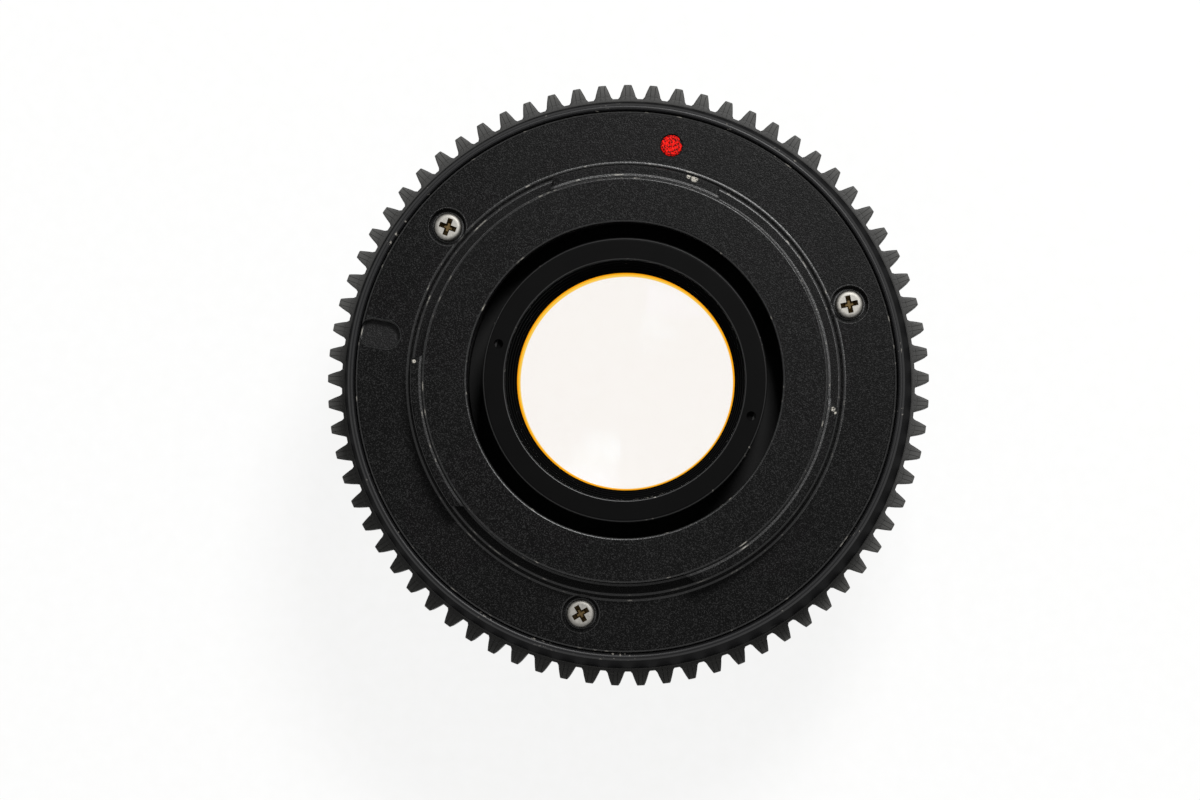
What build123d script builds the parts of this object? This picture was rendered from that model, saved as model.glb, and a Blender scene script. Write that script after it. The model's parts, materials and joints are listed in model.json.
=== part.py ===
from build123d import *
from math import acos, asin, cos, degrees, hypot, pi, radians, sin, sqrt, tan
import os

# A compact cine prime lens, built as the bench would take it apart.
#
# Millimetres. The origin is the centre of the bayonet flange's bearing face. +Z points into the
# camera body, so the rest of the lens hangs below zero. +Y is the side of the index line, and angles
# called "clock" are degrees clockwise from +Y, seen from the camera side. The lens is modelled at
# infinity focus with the iris fully open.

# Drawing margins: how far a cutting shape reaches past the material, and how far joined shapes overlap
cut_past = 1.0
join_depth = 1.0

# Clearances
static_fit = 0.02        # radial, between pieces that are screwed together
running_fit = 0.05       # radial, between a ring and what it turns on
sliding_fit = 0.10       # radial, between the optical unit and the main barrel
face_gap = 0.2           # axial, between a turning ring and its neighbours
pin_fit = 0.05           # radial, between a pin and its hole, slot or fork
tip_gap = 0.1            # between a pin's end and what lies beyond it
screw_tip_gap = 0.2      # between a screw's end and the bottom of its hole

# Bayonet mount
flange_radius = 26.4
flange_thickness = 2.2
flange_edge_chamfer = 0.2
collar_radius = 21.25
collar_height = 0.45
collar_chamfer = 0.42
spigot_radius = 19.6
spigot_height = 4.5
spigot_bore_radius = 15.25
spigot_hollow_radius = 17.6
spigot_roof = 1.4
spigot_chamfer = 0.22
tab_radius = 20.75
tab_top = 4.1
tab_thickness = 1.6
tab_chamfer = 0.15
tab_root_overlap = 0.3
# Each tab's inner start and end, then its outer start and end, in clock degrees
tab_angles = ((337.8, 388.2, 340.5, 386.1), (93.0, 163.8, 97.8, 160.5), (231.0, 277.5, 234.0, 275.7))
mount_screw_clocks = (71.0, 191.0, 311.0)
mount_screw_turns = (12.0, 30.0, 70.0)   # how each cross was left standing
mount_screw_circle = 23.05
mount_screw_head_radius = 1.4
mount_screw_head_height = 0.9
mount_screw_radius = 0.8
mount_screw_grip = 1.8
counterbore_radius = 1.78
counterbore_depth = 1.15
index_dot_clock = 11.0
index_dot_circle = 23.45
index_dot_radius = 1.08
index_dot_depth = 0.3
index_dot_recess = 0.05
lock_slot_clock = 281.0
lock_slot_centre = 24.5
lock_slot_length = 4.0
lock_slot_width = 2.6
lock_slot_depth = 1.3
shim_thickness = 0.2
shim_inner_radius = 21.6
shim_margin = 0.3

# Cross-recessed screws: shares of the head's height, and of its radius
head_bevel_share = 0.2
recess_depth_share = 0.7
recess_span_share = 1.15
recess_arm_share = 0.34
recess_floor_share = 0.45     # size of the cross at its floor against its mouth
screw_slot_width = 0.4
screw_slot_depth = 0.4

# Rear barrel
rear_rim_drop = 0.3
rear_rim_radius = 27.2
rear_skirt_radius = 28.25
rear_rim_chamfer = 0.22
rear_floor_thickness = 3.0
rear_skirt_length = 4.3
recess_gap = 0.1

# Main barrel
main_radius = 25.3
main_bore_radius = 23.6
main_length = 40.1
nut_seat_radius = 24.15
grub_radius = 0.8
grub_length = 2.2
grub_depth = 0.9
hex_radius = 0.42
hex_depth = 0.8
rear_grub_clocks = (30.0, 150.0, 270.0)
sleeve_grub_clocks = (45.0, 165.0, 285.0)
front_grub_clocks = (60.0, 180.0, 300.0)

# Aperture ring, 0.8 module gear
gear_module = 0.8
pressure_angle = 20.0
aperture_teeth = 73
gear_width = 6.0
gear_tip_chamfer = 0.12
gear_dedendum = 0.6       # a stub depth below the pitch circle
gear_foot_height = 0.2
gear_profile_shift = 0.16     # share of the module by which the teeth are cut further out
hub_boss_height = 0.12
hub_boss_margin = 0.25
aperture_band_radius = 27.5
aperture_band_width = 5.2
aperture_throw = 60.0
aperture_pin_radius = 0.8
aperture_pin_head_radius = 1.3
aperture_pin_head_height = 0.9
aperture_pin_head_sink = 0.15
aperture_pin_clock = 210.0
stop_margin = 0.5        # degrees of free play before a key or pin meets the end of its slot

# Index sleeve
sleeve_radius = 27.2
sleeve_width = 4.8
ring_edge_chamfer = 0.25

# Focus ring
focus_teeth = 70
focus_band_radius = 26.9
focus_band_width = 10.1
focus_lip_width = 0.8
focus_throw = 160.0
focus_travel = 4.0
focus_key_clock = 190.0
focus_key_width = 5.0
focus_key_height = 3.0
focus_key_depth = 0.8
focus_key_reach = 0.9
key_screw_radius = 0.6
key_screw_head_radius = 1.05
key_screw_head_height = 0.5
key_screw_grip = 0.55
key_screw_slot_width = 0.35
key_screw_slot_depth = 0.25

# Helicoid
thread_starts = 6
thread_crest_radius = 22.5
thread_depth = 0.7
thread_crest_share = 0.30     # share of one pitch that is flat crest, and the same for the root
thread_play = 0.12            # radial, and axial on each flank
thread_run_out = 0.5          # how far the nut's thread is cut past each face
nut_length = 11.0
nut_start = 26.6              # from the main barrel's rear end to the nut's rear face
retainer_length = 1.1
retainer_inner_radius = 22.9
retainer_slot_clocks = (0.0, 180.0)
retainer_slot_width = 1.2
retainer_slot_depth = 0.4
unit_thread_length = 15.2
unit_collar_length = 1.0

# Optical unit
unit_rear = -9.5
unit_rear_bore_radius = 21.4
unit_front_bore_radius = 20.2
guide_key_clocks = (90.0, 270.0)
guide_key_width = 3.0
guide_key_length = 4.0
guide_key_depth = 1.15

# Front barrel
front_length = 10.6
front_waist_radius = 27.6
front_lip_radius = 28.3
front_lip_width = 3.2
front_taper_width = 1.4
filter_radius = 25.6          # minor radius of a 52 mm x 0.75 mm filter thread
filter_depth = 3.5
trim_width = 1.0
trim_outer_radius = 25.15
trim_inner_radius = 22.3
trim_chamfer = 0.4
trim_hole_circle = 24.025
trim_hole_depth = 0.6
front_throat_radius = 23.0

# Iris
blade_count = 10
iris_open_radius = 12.15
iris_base_margin = 0.15       # the plate's opening against the blades' opening
rotor_margin = 0.25           # the rotor's opening against the blades' opening
iris_base_gap = 0.9           # from the front cell's rear end to the plate
blade_outer_radius = 17.0
blade_thickness = 0.10
blade_pitch = 0.16
blade_span = 130.0
blade_root = 6.0
blade_root_shift = 0.8
blade_tail_bulge = 0.45
blade_swing = 33.0
pivot_circle = 18.9
pivot_boss_radius = 1.0
drive_arm = 4.6
drive_boss_radius = 0.62
iris_pin_radius = 0.4
iris_base_thickness = 1.0
rotor_thickness = 0.8
rotor_gap = 0.15
base_screw_radius = 0.6
base_screw_reach = 0.7
base_screw_sink = 0.2
base_screw_clocks = (15.0, 135.0, 255.0)
fork_inner_radius = 20.3
fork_outer_radius = 21.15
fork_prong_width = 2.0
rotor_slot_steps = 14

# Cells and glass: every z here is where a piece's flat land sits
rear_cell_body_radius = 19.9
rear_cell_flange_thickness = 1.8
rear_cell_neck_radius = 15.6
rear_cell_neck_length = 3.2
rear_cell_neck_taper = 1.5
cell_edge = 0.2
cell_flange_margin = 0.1
rear_tube_radius = 13.77
rear_tube_top = 3.4
cell_screw_radius = 0.6
cell_screw_head_radius = 1.0
cell_screw_head_height = 0.6
cell_screw_grip = 2.4
cell_screw_clocks = (0.0, 120.0, 240.0)
front_group_radius = 15.5
front_element_radius = 18.0
rear_group_radius = 16.0
rear_element_radius = 12.85
front_cell_front = -45.5
front_cell_flange_radius = 21.6
front_cell_rear = -26.2
lens_1_front = -42.5
lens_1_rear = -38.5
lens_2_front = -37.3
lens_2_rear = -33.5
lens_3_rear = -29.5
lens_4_front = -19.6
lens_4_rear = -16.4
lens_5_rear = -13.2
lens_6_front = -11.2
lens_6_rear = -7.6
lens_7_front = -4.6
lens_7_rear = -0.8
front_ring_length = 2.4
pair_ring_length = 1.9
inner_ring_length = 1.6
ring_hole_clocks = (90.0, 270.0)
ring_hole_depth = 0.6
rear_ring_flange = 0.8
rear_ring_edge = 0.2
rear_ring_lip = 0.12
rear_ring_throat_radius = 10.62
rear_ring_mouth_radius = 11.6
spanner_clocks = (106.0, 286.0)
spanner_circle = 12.68
spanner_radius = 0.42
spanner_depth = 1.2

# Glass surfaces, counted from the front: clear radius, and radius of curvature. A positive curve
# bulges towards the front of the lens, a negative one towards the camera.
clear_1 = 16.4
clear_2 = 14.8
clear_3 = 14.0
clear_4 = 13.6
clear_5 = 13.6
clear_6 = 12.6
clear_7 = 12.4
clear_8 = 12.0
clear_9 = 12.0
clear_10 = 11.6
clear_11 = 11.4
curve_1 = 40.0
curve_2 = 60.0
curve_3 = 45.0
curve_4 = 90.0
curve_5 = 34.0
curve_6 = -34.0
curve_7 = -60.0
curve_8 = -60.0
curve_9 = 400.0
curve_10 = -40.0
curve_11 = 80.0
curve_12 = -60.0

# How far each mouth stands back from the clear edge of the glass beside it
front_ring_margin = 0.2
pair_ring_margin = 0.3
inner_ring_margin = 0.6
spacer_margin = 0.1
cell_throat_margin = 0.1
rear_ring_margin = 0.07

# Levels that follow from the sizes above
floor_z = -flange_thickness - shim_thickness
main_rear = floor_z - rear_floor_thickness
main_front = main_rear - main_length
skirt_front = main_rear - rear_skirt_length
aperture_rear = skirt_front - face_gap
aperture_gear_front = aperture_rear - gear_width
aperture_front = aperture_gear_front - aperture_band_width
sleeve_rear = aperture_front - face_gap
sleeve_front = sleeve_rear - sleeve_width
focus_rear = sleeve_front - face_gap
focus_gear_rear = focus_rear - focus_band_width
focus_gear_front = focus_gear_rear - gear_width
focus_front = focus_gear_front - focus_lip_width
front_rear = focus_front - face_gap
front_rim = front_rear - front_length
nut_rear = main_rear - nut_start
nut_front = nut_rear - nut_length
ring_bore = main_radius + running_fit
sleeve_bore = main_radius + static_fit
unit_radius = main_bore_radius - sliding_fit
unit_land_front = nut_rear + focus_travel + face_gap
unit_thread_front = unit_land_front - unit_thread_length
unit_front = unit_thread_front - unit_collar_length
aperture_pin_z = (aperture_gear_front + aperture_front) / 2
focus_key_z = (nut_rear + nut_front) / 2
lead = focus_travel * 360.0 / focus_throw
rotor_radius = unit_rear_bore_radius - running_fit
retainer_radius = nut_seat_radius - static_fit
guide_key_z = (sleeve_rear + sleeve_front) / 2
base_front = front_cell_rear + iris_base_gap
base_rear = base_front + iris_base_thickness
first_blade_z = base_rear + rotor_gap
rotor_front = first_blade_z + blade_pitch * blade_count + rotor_gap
rotor_rear = rotor_front + rotor_thickness
rear_cell_front = rotor_rear + face_gap
clear_12 = rear_ring_throat_radius - rear_ring_margin


def clock_point(radius, clock, z=0.0):
    """The point at a radius and a clock angle."""
    return Vector(radius * sin(radians(clock)), radius * cos(radians(clock)), z)


def clock_place(clock):
    """Turns a shape that was drawn at +Y to its clock angle."""
    return Rot(0, 0, -clock)


def turned(*points):
    """A solid of revolution from (radius, z) corners."""
    outline = Polyline(*[(r, z) for r, z in points], close=True)
    return revolve(Plane.XZ * make_face(outline), Axis.Z)


def tube(inner, outer, low, high):
    """A plain ring or, where inner is zero, a disc."""
    section = Circle(outer)
    if inner > 0:
        section -= Circle(inner)
    return Pos(0, 0, low) * extrude(section, high - low)


def post(radius, low, high, x=0.0, y=0.0):
    """A cylinder along Z between two levels."""
    return Pos(x, y, (low + high) / 2) * Cylinder(radius, high - low)


def radial_post(radius, inner, outer, clock, z):
    """A cylinder that points straight out from the axis."""
    stub = Pos(0, (inner + outer) / 2, z) * Rot(90, 0, 0) * Cylinder(radius, outer - inner)
    return clock_place(clock) * stub


def arc_block(inner, outer, first_clock, last_clock, low, high):
    """A curved block between two radii, two clock angles and two levels."""
    start = 90.0 - last_clock
    sweep = last_clock - first_clock
    far = CenterArc((0, 0), outer, start, sweep)
    near = CenterArc((0, 0), inner, start, sweep)
    sides = [Line(near @ 0, far @ 0), Line(near @ 1, far @ 1)]
    return Pos(0, 0, low) * extrude(make_face([far, near, *sides]), high - low)


def grub_screw(outer, clock, z):
    """A radial grub screw with a hexagon socket in its outer end."""
    screw = radial_post(grub_radius, outer - grub_length, outer, clock, z)
    hexagon = extrude(RegularPolygon(hex_radius, 6), hex_depth)
    socket = Pos(0, outer - hex_depth, z) * Rot(-90, 0, 0) * hexagon
    return screw - clock_place(clock) * socket


def cross_recess(width, arm, depth):
    """The tapered cross of a cross-recessed head, its mouth at z = 0."""
    narrow = recess_floor_share
    slot = loft([Rectangle(width, arm), Pos(0, 0, -depth) * Rectangle(width * narrow, arm * narrow)])
    return slot + Rot(0, 0, 90) * slot


def pan_screw(x, y, seat, head_radius, head_height, radius, grip, turn=0.0):
    """A cross-recessed screw along Z: its head stands on the seat and its shank hangs below."""
    head = post(head_radius, seat, seat + head_height, x, y)
    rim = head.edges().group_by(Axis.Z)[-1]
    head = chamfer(rim, head_height * head_bevel_share)
    shank = post(radius, seat - grip, seat, x, y)
    recess = cross_recess(head_radius * recess_span_share, head_radius * recess_arm_share,
                          head_height * recess_depth_share)
    return head + shank - Pos(x, y, seat + head_height) * Rot(0, 0, turn) * recess


def gear_ring(teeth, inner, low, high):
    """A spur gear ring with involute flanks, bored to the inner radius."""
    pitch_radius = gear_module * teeth / 2
    base_radius = pitch_radius * cos(radians(pressure_angle))
    tip = pitch_radius + gear_module
    root = pitch_radius - gear_dedendum

    def half_angle(radius):
        """Half of the tooth's thickness at a radius, in degrees."""
        slope = acos(base_radius / radius)
        pitch_slope = radians(pressure_angle)
        involute = tan(slope) - slope
        pitch_half = (pi / 2 + 2 * gear_profile_shift * tan(pitch_slope)) / teeth
        return degrees(pitch_half + tan(pitch_slope) - pitch_slope - involute)

    flank_foot = root + gear_foot_height
    step = 360.0 / teeth
    edges = []
    for tooth in range(teeth):
        middle = tooth * step
        foot_in = clock_point(flank_foot, middle - half_angle(flank_foot))
        pitch_in = clock_point(pitch_radius, middle - half_angle(pitch_radius))
        tip_in = clock_point(tip, middle - half_angle(tip))
        tip_top = clock_point(tip, middle)
        tip_out = clock_point(tip, middle + half_angle(tip))
        pitch_out = clock_point(pitch_radius, middle + half_angle(pitch_radius))
        foot_out = clock_point(flank_foot, middle + half_angle(flank_foot))
        gap_floor = clock_point(root, middle + step / 2)
        next_foot = clock_point(flank_foot, middle + step - half_angle(flank_foot))
        edges.append(ThreePointArc(foot_in, pitch_in, tip_in))
        edges.append(ThreePointArc(tip_in, tip_top, tip_out))
        edges.append(ThreePointArc(tip_out, pitch_out, foot_out))
        edges.append(ThreePointArc(foot_out, gap_floor, next_foot))
    blank = Pos(0, 0, low) * extrude(make_face(edges) - Circle(inner), high - low)
    bevel = gear_tip_chamfer
    past = tip + cut_past
    for level, way in ((low, 1.0), (high, -1.0)):
        blank -= turned((tip - bevel, level), (past, level), (past, level + way * (bevel + cut_past)))
    return blank


def thread_face(crest, root, crest_half, root_half):
    """The cross-section of a multi-start thread: crest and root arcs joined by straight flanks."""
    step = 360.0 / thread_starts
    edges = []
    for start in range(thread_starts):
        middle = start * step
        crest_arc = CenterArc((0, 0), crest, middle - crest_half, 2 * crest_half)
        root_arc = CenterArc((0, 0), root, middle + step / 2 - root_half, 2 * root_half)
        next_crest = CenterArc((0, 0), crest, middle + step - crest_half, 2 * crest_half)
        edges += [crest_arc, Line(crest_arc @ 1, root_arc @ 0)]
        edges += [root_arc, Line(root_arc @ 1, next_crest @ 0)]
    return make_face(edges)


def thread_core(crest, root, crest_half, root_half, low, high):
    """The thread's section carried up a right-hand helix of the focus lead."""
    section = thread_face(crest, root, crest_half, root_half)
    height = high - low
    outline = section.faces()[0].outer_wire()
    turn = 360.0 * height / lead
    core = Solid.extrude_linear_with_rotation(outline, (0, 0, 0), (0, 0, height), turn)
    # The section stands at the same turn as the lens's other thread, whatever level it starts from
    return Pos(0, 0, low) * Rot(0, 0, 360.0 * low / lead) * core


def sag(curve, clear):
    """How far a spherical surface stands in front of the plane of its clear edge."""
    depth = abs(curve) - sqrt(curve * curve - clear * clear)
    return depth if curve > 0 else -depth


def lens_element(front, rear, radius, front_clear, rear_clear, front_curve, rear_curve):
    """A glass element with a flat land round each surface.

    front and rear are the levels of the lands, front being the lower.
    """
    front_vertex = front - sag(front_curve, front_clear)
    rear_vertex = rear - sag(rear_curve, rear_clear)

    def surface(vertex, level, clear, curve):
        half = clear / 2
        return ThreePointArc((0, vertex), (half, vertex + sag(curve, half)), (clear, level))

    edges = [surface(front_vertex, front, front_clear, front_curve),
             Line((front_clear, front), (radius, front)),
             Line((radius, front), (radius, rear)),
             Line((radius, rear), (rear_clear, rear)),
             surface(rear_vertex, rear, rear_clear, rear_curve),
             Line((0, rear_vertex), (0, front_vertex))]
    return revolve(Plane.XZ * make_face(edges), Axis.Z)


def make_mount_plate():
    """Flange, spigot and tabs, with counterbores, index pocket and lock-pin slot."""
    edge = flange_edge_chamfer
    soft = collar_chamfer
    lip = spigot_chamfer
    roof = spigot_height - spigot_roof
    plate = turned((spigot_hollow_radius, -flange_thickness), (flange_radius, -flange_thickness),
                   (flange_radius, -edge), (flange_radius - edge, 0), (collar_radius, 0),
                   (collar_radius, collar_height - soft), (collar_radius - soft, collar_height),
                   (spigot_radius, collar_height), (spigot_radius, spigot_height - lip),
                   (spigot_radius - lip, spigot_height),
                   (spigot_bore_radius + lip, spigot_height), (spigot_bore_radius, spigot_height - lip),
                   (spigot_bore_radius, roof), (spigot_hollow_radius, roof))
    for tab in tab_angles:
        plate += make_tab(*tab)
    for clock in mount_screw_clocks:
        spot = clock_point(mount_screw_circle, clock)
        plate -= post(counterbore_radius, -counterbore_depth, cut_past, spot.X, spot.Y)
        plate -= post(mount_screw_radius + pin_fit, -flange_thickness - cut_past, 0.0, spot.X, spot.Y)
    dot = clock_point(index_dot_circle, index_dot_clock)
    plate -= post(index_dot_radius, -index_dot_depth, cut_past, dot.X, dot.Y)
    slot_face = Rot(0, 0, 90) * SlotOverall(lock_slot_length, lock_slot_width)
    slot = extrude(slot_face, lock_slot_depth + cut_past)
    return plate - clock_place(lock_slot_clock) * Pos(0, lock_slot_centre, -lock_slot_depth) * slot


def make_tab(inner_start, inner_end, outer_start, outer_end):
    """One bayonet tab, a little narrower at its outer edge than at its root."""
    root = spigot_radius - tab_root_overlap
    near = CenterArc((0, 0), root, 90.0 - inner_end, inner_end - inner_start)
    far = CenterArc((0, 0), tab_radius, 90.0 - outer_end, outer_end - outer_start)
    outline = make_face([near, far, Line(near @ 0, far @ 0), Line(near @ 1, far @ 1)])
    tab = Pos(0, 0, tab_top - tab_thickness) * extrude(outline, tab_thickness)
    top = tab.faces().sort_by(Axis.Z)[-1]
    outer_edges = [e for e in top.edges() if hypot(e.center().X, e.center().Y) > spigot_radius]
    return chamfer(outer_edges, tab_chamfer)


def make_mount_screws():
    """Three cross-recessed screws, turned as they were left."""
    seat = -counterbore_depth
    grip = flange_thickness - counterbore_depth + shim_thickness + mount_screw_grip
    screws = []
    for clock, turn in zip(mount_screw_clocks, mount_screw_turns):
        spot = clock_point(mount_screw_circle, clock)
        screws.append(pan_screw(spot.X, spot.Y, seat, mount_screw_head_radius, mount_screw_head_height,
                                mount_screw_radius, grip, turn))
    return screws


def make_index_dot():
    """Enamel that fills the index pocket to just below the face."""
    dot = clock_point(index_dot_circle, index_dot_clock)
    return post(index_dot_radius, -index_dot_depth, -index_dot_recess, dot.X, dot.Y)


def make_mount_shim():
    """Thin ring between the mount plate and its seat."""
    shim = tube(shim_inner_radius, flange_radius - shim_margin, floor_z, -flange_thickness)
    for clock in mount_screw_clocks:
        spot = clock_point(mount_screw_circle, clock)
        shim -= post(mount_screw_radius + 2 * pin_fit, floor_z - cut_past, 0.0, spot.X, spot.Y)
    return shim


def make_rear_barrel():
    """Short cone behind the geared ring, with the recess that the mount plate is let into."""
    recess = flange_radius + recess_gap
    rim = -rear_rim_drop
    edge = rear_rim_chamfer
    barrel = turned((shim_inner_radius, main_rear), (shim_inner_radius, floor_z), (recess, floor_z),
                    (recess, rim - edge), (recess + edge, rim), (rear_rim_radius - edge, rim),
                    (rear_rim_radius, rim - edge), (rear_skirt_radius, skirt_front + edge),
                    (rear_skirt_radius - edge, skirt_front), (sleeve_bore, skirt_front),
                    (sleeve_bore, main_rear))
    for clock in mount_screw_clocks:
        spot = clock_point(mount_screw_circle, clock)
        barrel -= post(mount_screw_radius, floor_z - mount_screw_grip, 0.0, spot.X, spot.Y)
    for clock in rear_grub_clocks:
        barrel -= radial_post(grub_radius, main_radius - cut_past, rear_skirt_radius + cut_past, clock,
                              rear_grub_z)
    return barrel


def make_main_barrel():
    """The tube that carries everything: nut seat, slots, keyways and screw spots."""
    barrel = tube(main_bore_radius, main_radius, main_front, main_rear)
    barrel -= tube(0, nut_seat_radius, main_front - cut_past, nut_rear)
    inner = main_bore_radius - cut_past
    outer = main_radius + cut_past
    pin_half = degrees(asin(aperture_pin_radius / main_bore_radius)) + stop_margin
    half_slot = aperture_pin_radius + pin_fit
    barrel -= arc_block(inner, outer, aperture_pin_clock - aperture_throw - pin_half,
                        aperture_pin_clock + pin_half,
                        aperture_pin_z - half_slot, aperture_pin_z + half_slot)
    key_half = degrees(asin(focus_key_width / 2 / main_bore_radius)) + stop_margin
    half_key = focus_key_height / 2 + pin_fit
    barrel -= arc_block(inner, outer, focus_key_clock - focus_throw - key_half,
                        focus_key_clock + key_half, focus_key_z - half_key, focus_key_z + half_key)
    for clock in guide_key_clocks:
        barrel -= clock_place(clock) * guide_block(inner, outer, 0.0)
    for clocks, z in ((rear_grub_clocks, rear_grub_z), (sleeve_grub_clocks, guide_key_z),
                      (front_grub_clocks, front_grub_z)):
        for clock in clocks:
            barrel -= radial_post(grub_radius, main_radius - grub_depth, outer, clock, z)
    return barrel


def guide_block(inner, outer, growth):
    """The guide key's block at +Y, grown on its four sides."""
    block = Box(guide_key_width + 2 * growth, outer - inner, guide_key_length + 2 * growth)
    return Pos(0, (inner + outer) / 2, guide_key_z) * block


def make_guide_keys():
    """Two keys let into the main barrel, trapped under the index sleeve."""
    inner = unit_radius - guide_key_depth + pin_fit
    inside = tube(0, main_radius - static_fit, main_front, main_rear)
    keys = []
    for clock in guide_key_clocks:
        key = clock_place(clock) * guide_block(inner, main_radius, -static_fit / 2)
        keys.append((key & inside).solids()[0])
    return keys


def grub_set(clocks, z):
    """Three grub screws that bottom in the main barrel's spots."""
    outer = main_radius - grub_depth + grub_length
    return [grub_screw(outer, clock, z) for clock in clocks]


def make_index_sleeve():
    """Fixed sleeve between the two rings; its middle carries the index line."""
    edge = ring_edge_chamfer
    sleeve = turned((sleeve_bore, sleeve_front), (sleeve_radius - edge, sleeve_front),
                    (sleeve_radius, sleeve_front + edge), (sleeve_radius, sleeve_rear - edge),
                    (sleeve_radius - edge, sleeve_rear), (sleeve_bore, sleeve_rear))
    for clock in sleeve_grub_clocks:
        sleeve -= radial_post(grub_radius, main_radius - cut_past, sleeve_radius + cut_past, clock,
                              guide_key_z)
    return sleeve


def make_helicoid_retainer():
    """Threaded ring that keeps the focus nut against its shoulder, with two spanner slots."""
    top = nut_front - face_gap / 2
    face = top - retainer_length
    ring = tube(retainer_inner_radius, retainer_radius, face, top)
    across = 2 * (nut_seat_radius - retainer_inner_radius) + cut_past
    slot = Box(retainer_slot_width, across, 2 * retainer_slot_depth)
    for clock in retainer_slot_clocks:
        ring -= clock_place(clock) * Pos(0, nut_seat_radius, face) * slot
    return ring


def make_front_barrel():
    """Fixed front end with the filter thread's bore; the lens stands on its rim."""
    edge = ring_edge_chamfer
    lip = front_rim + front_lip_width
    seat = front_rim + filter_depth
    shoulder = seat + trim_width
    barrel = turned((filter_radius + edge, front_rim), (front_lip_radius - edge, front_rim),
                    (front_lip_radius, front_rim + edge), (front_lip_radius, lip),
                    (front_waist_radius, lip + front_taper_width), (front_waist_radius, front_rear - edge),
                    (front_waist_radius - edge, front_rear), (sleeve_bore, front_rear),
                    (sleeve_bore, main_front), (front_throat_radius, main_front),
                    (front_throat_radius, shoulder), (trim_outer_radius + static_fit, shoulder),
                    (trim_outer_radius + static_fit, seat), (filter_radius, seat),
                    (filter_radius, front_rim + edge))
    for clock in front_grub_clocks:
        barrel -= radial_post(grub_radius, main_radius - cut_past, front_lip_radius + cut_past, clock,
                              front_grub_z)
    return barrel


def make_front_trim_ring():
    """Bare ring behind the filter thread, where a lens carries its name."""
    seat = front_rim + filter_depth
    back = seat + trim_width
    ring = turned((trim_inner_radius + trim_chamfer, seat), (trim_outer_radius, seat),
                  (trim_outer_radius, back), (trim_inner_radius, back),
                  (trim_inner_radius, seat + trim_chamfer))
    for clock in ring_hole_clocks:
        spot = clock_point(trim_hole_circle, clock)
        ring -= post(spanner_radius, seat - cut_past, seat + trim_hole_depth, spot.X, spot.Y)
    return ring


def make_aperture_ring():
    """Geared ring nearest the mount, with a plain band for its scale."""
    edge = ring_edge_chamfer
    ring = gear_ring(aperture_teeth, ring_bore, aperture_gear_front, aperture_rear - hub_boss_height)
    root = gear_module * aperture_teeth / 2 - gear_dedendum
    boss = root + hub_boss_margin
    foot = aperture_rear - join_depth
    hub = turned((ring_bore, foot), (root, foot), (root, aperture_rear - edge),
                 (root - edge, aperture_rear), (ring_bore, aperture_rear))
    step = tube(root - join_depth, boss, foot, aperture_rear - hub_boss_height / 2)
    ring += hub
    ring += step & gear_ring(aperture_teeth, ring_bore, aperture_gear_front, aperture_rear)
    band = turned((ring_bore, aperture_front), (aperture_band_radius - edge, aperture_front),
                  (aperture_band_radius, aperture_front + edge), (aperture_band_radius, aperture_gear_front),
                  (ring_bore, aperture_gear_front))
    ring += band
    head_seat = aperture_band_radius - aperture_pin_head_height
    ring -= radial_post(aperture_pin_radius, main_radius - cut_past, aperture_band_radius,
                        aperture_pin_clock, aperture_pin_z)
    ring -= radial_post(aperture_pin_head_radius + pin_fit, head_seat, aperture_band_radius + cut_past,
                        aperture_pin_clock, aperture_pin_z)
    return ring


def make_aperture_drive_screw():
    """Shouldered screw through the aperture ring; its tip works the iris fork."""
    head_seat = aperture_band_radius - aperture_pin_head_height
    head_top = aperture_band_radius - aperture_pin_head_sink
    tip = fork_inner_radius + tip_gap
    shank = radial_post(aperture_pin_radius, tip, head_seat, aperture_pin_clock, aperture_pin_z)
    head = radial_post(aperture_pin_head_radius, head_seat, head_top, aperture_pin_clock, aperture_pin_z)
    slot = Box(2 * aperture_pin_head_radius + cut_past, 2 * screw_slot_depth, screw_slot_width)
    return shank + head - clock_place(aperture_pin_clock) * Pos(0, head_top, aperture_pin_z) * slot


def make_focus_ring():
    """Geared focus ring, with a keyway that is open to the front."""
    edge = ring_edge_chamfer
    ring = gear_ring(focus_teeth, ring_bore, focus_gear_front, focus_gear_rear)
    ring += turned((ring_bore, focus_gear_rear), (focus_band_radius, focus_gear_rear),
                   (focus_band_radius, focus_rear - edge), (focus_band_radius - edge, focus_rear),
                   (ring_bore, focus_rear))
    ring += turned((ring_bore, focus_front), (focus_band_radius - edge, focus_front),
                   (focus_band_radius, focus_front + edge), (focus_band_radius, focus_gear_front),
                   (ring_bore, focus_gear_front))
    top = focus_key_z + focus_key_height / 2 + pin_fit
    height = top - focus_front + cut_past
    depth = focus_key_reach + 2 * pin_fit + cut_past
    keyway = Box(focus_key_width + 2 * pin_fit, depth, height)
    place = Pos(0, ring_bore - cut_past + depth / 2, top - height / 2)
    return ring - clock_place(focus_key_clock) * place * keyway


def make_focus_helicoid():
    """The focus nut: it turns in place and carries the multi-start thread inside."""
    crest = thread_crest_radius + thread_play
    root = crest - thread_depth
    crest_half, root_half = thread_halves(1)
    nut = tube(0, nut_seat_radius - running_fit, nut_front, nut_rear)
    nut -= thread_core(crest, root, crest_half, root_half, nut_front - thread_run_out,
                       nut_rear + thread_run_out)
    nut -= clock_place(focus_key_clock) * focus_key_block(static_fit / 2)
    floor = nut_seat_radius - running_fit - focus_key_depth
    return nut - radial_post(key_screw_radius, floor - key_screw_grip, floor + cut_past, focus_key_clock,
                             focus_key_z)


def thread_halves(side):
    """Half widths of the thread's crest and root in degrees: side 1 is the nut, -1 the unit."""
    step = 360.0 / thread_starts
    play = thread_play / 2 / lead * 360.0
    return step * thread_crest_share / 2 + side * play, step * thread_crest_share / 2 - side * play


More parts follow.
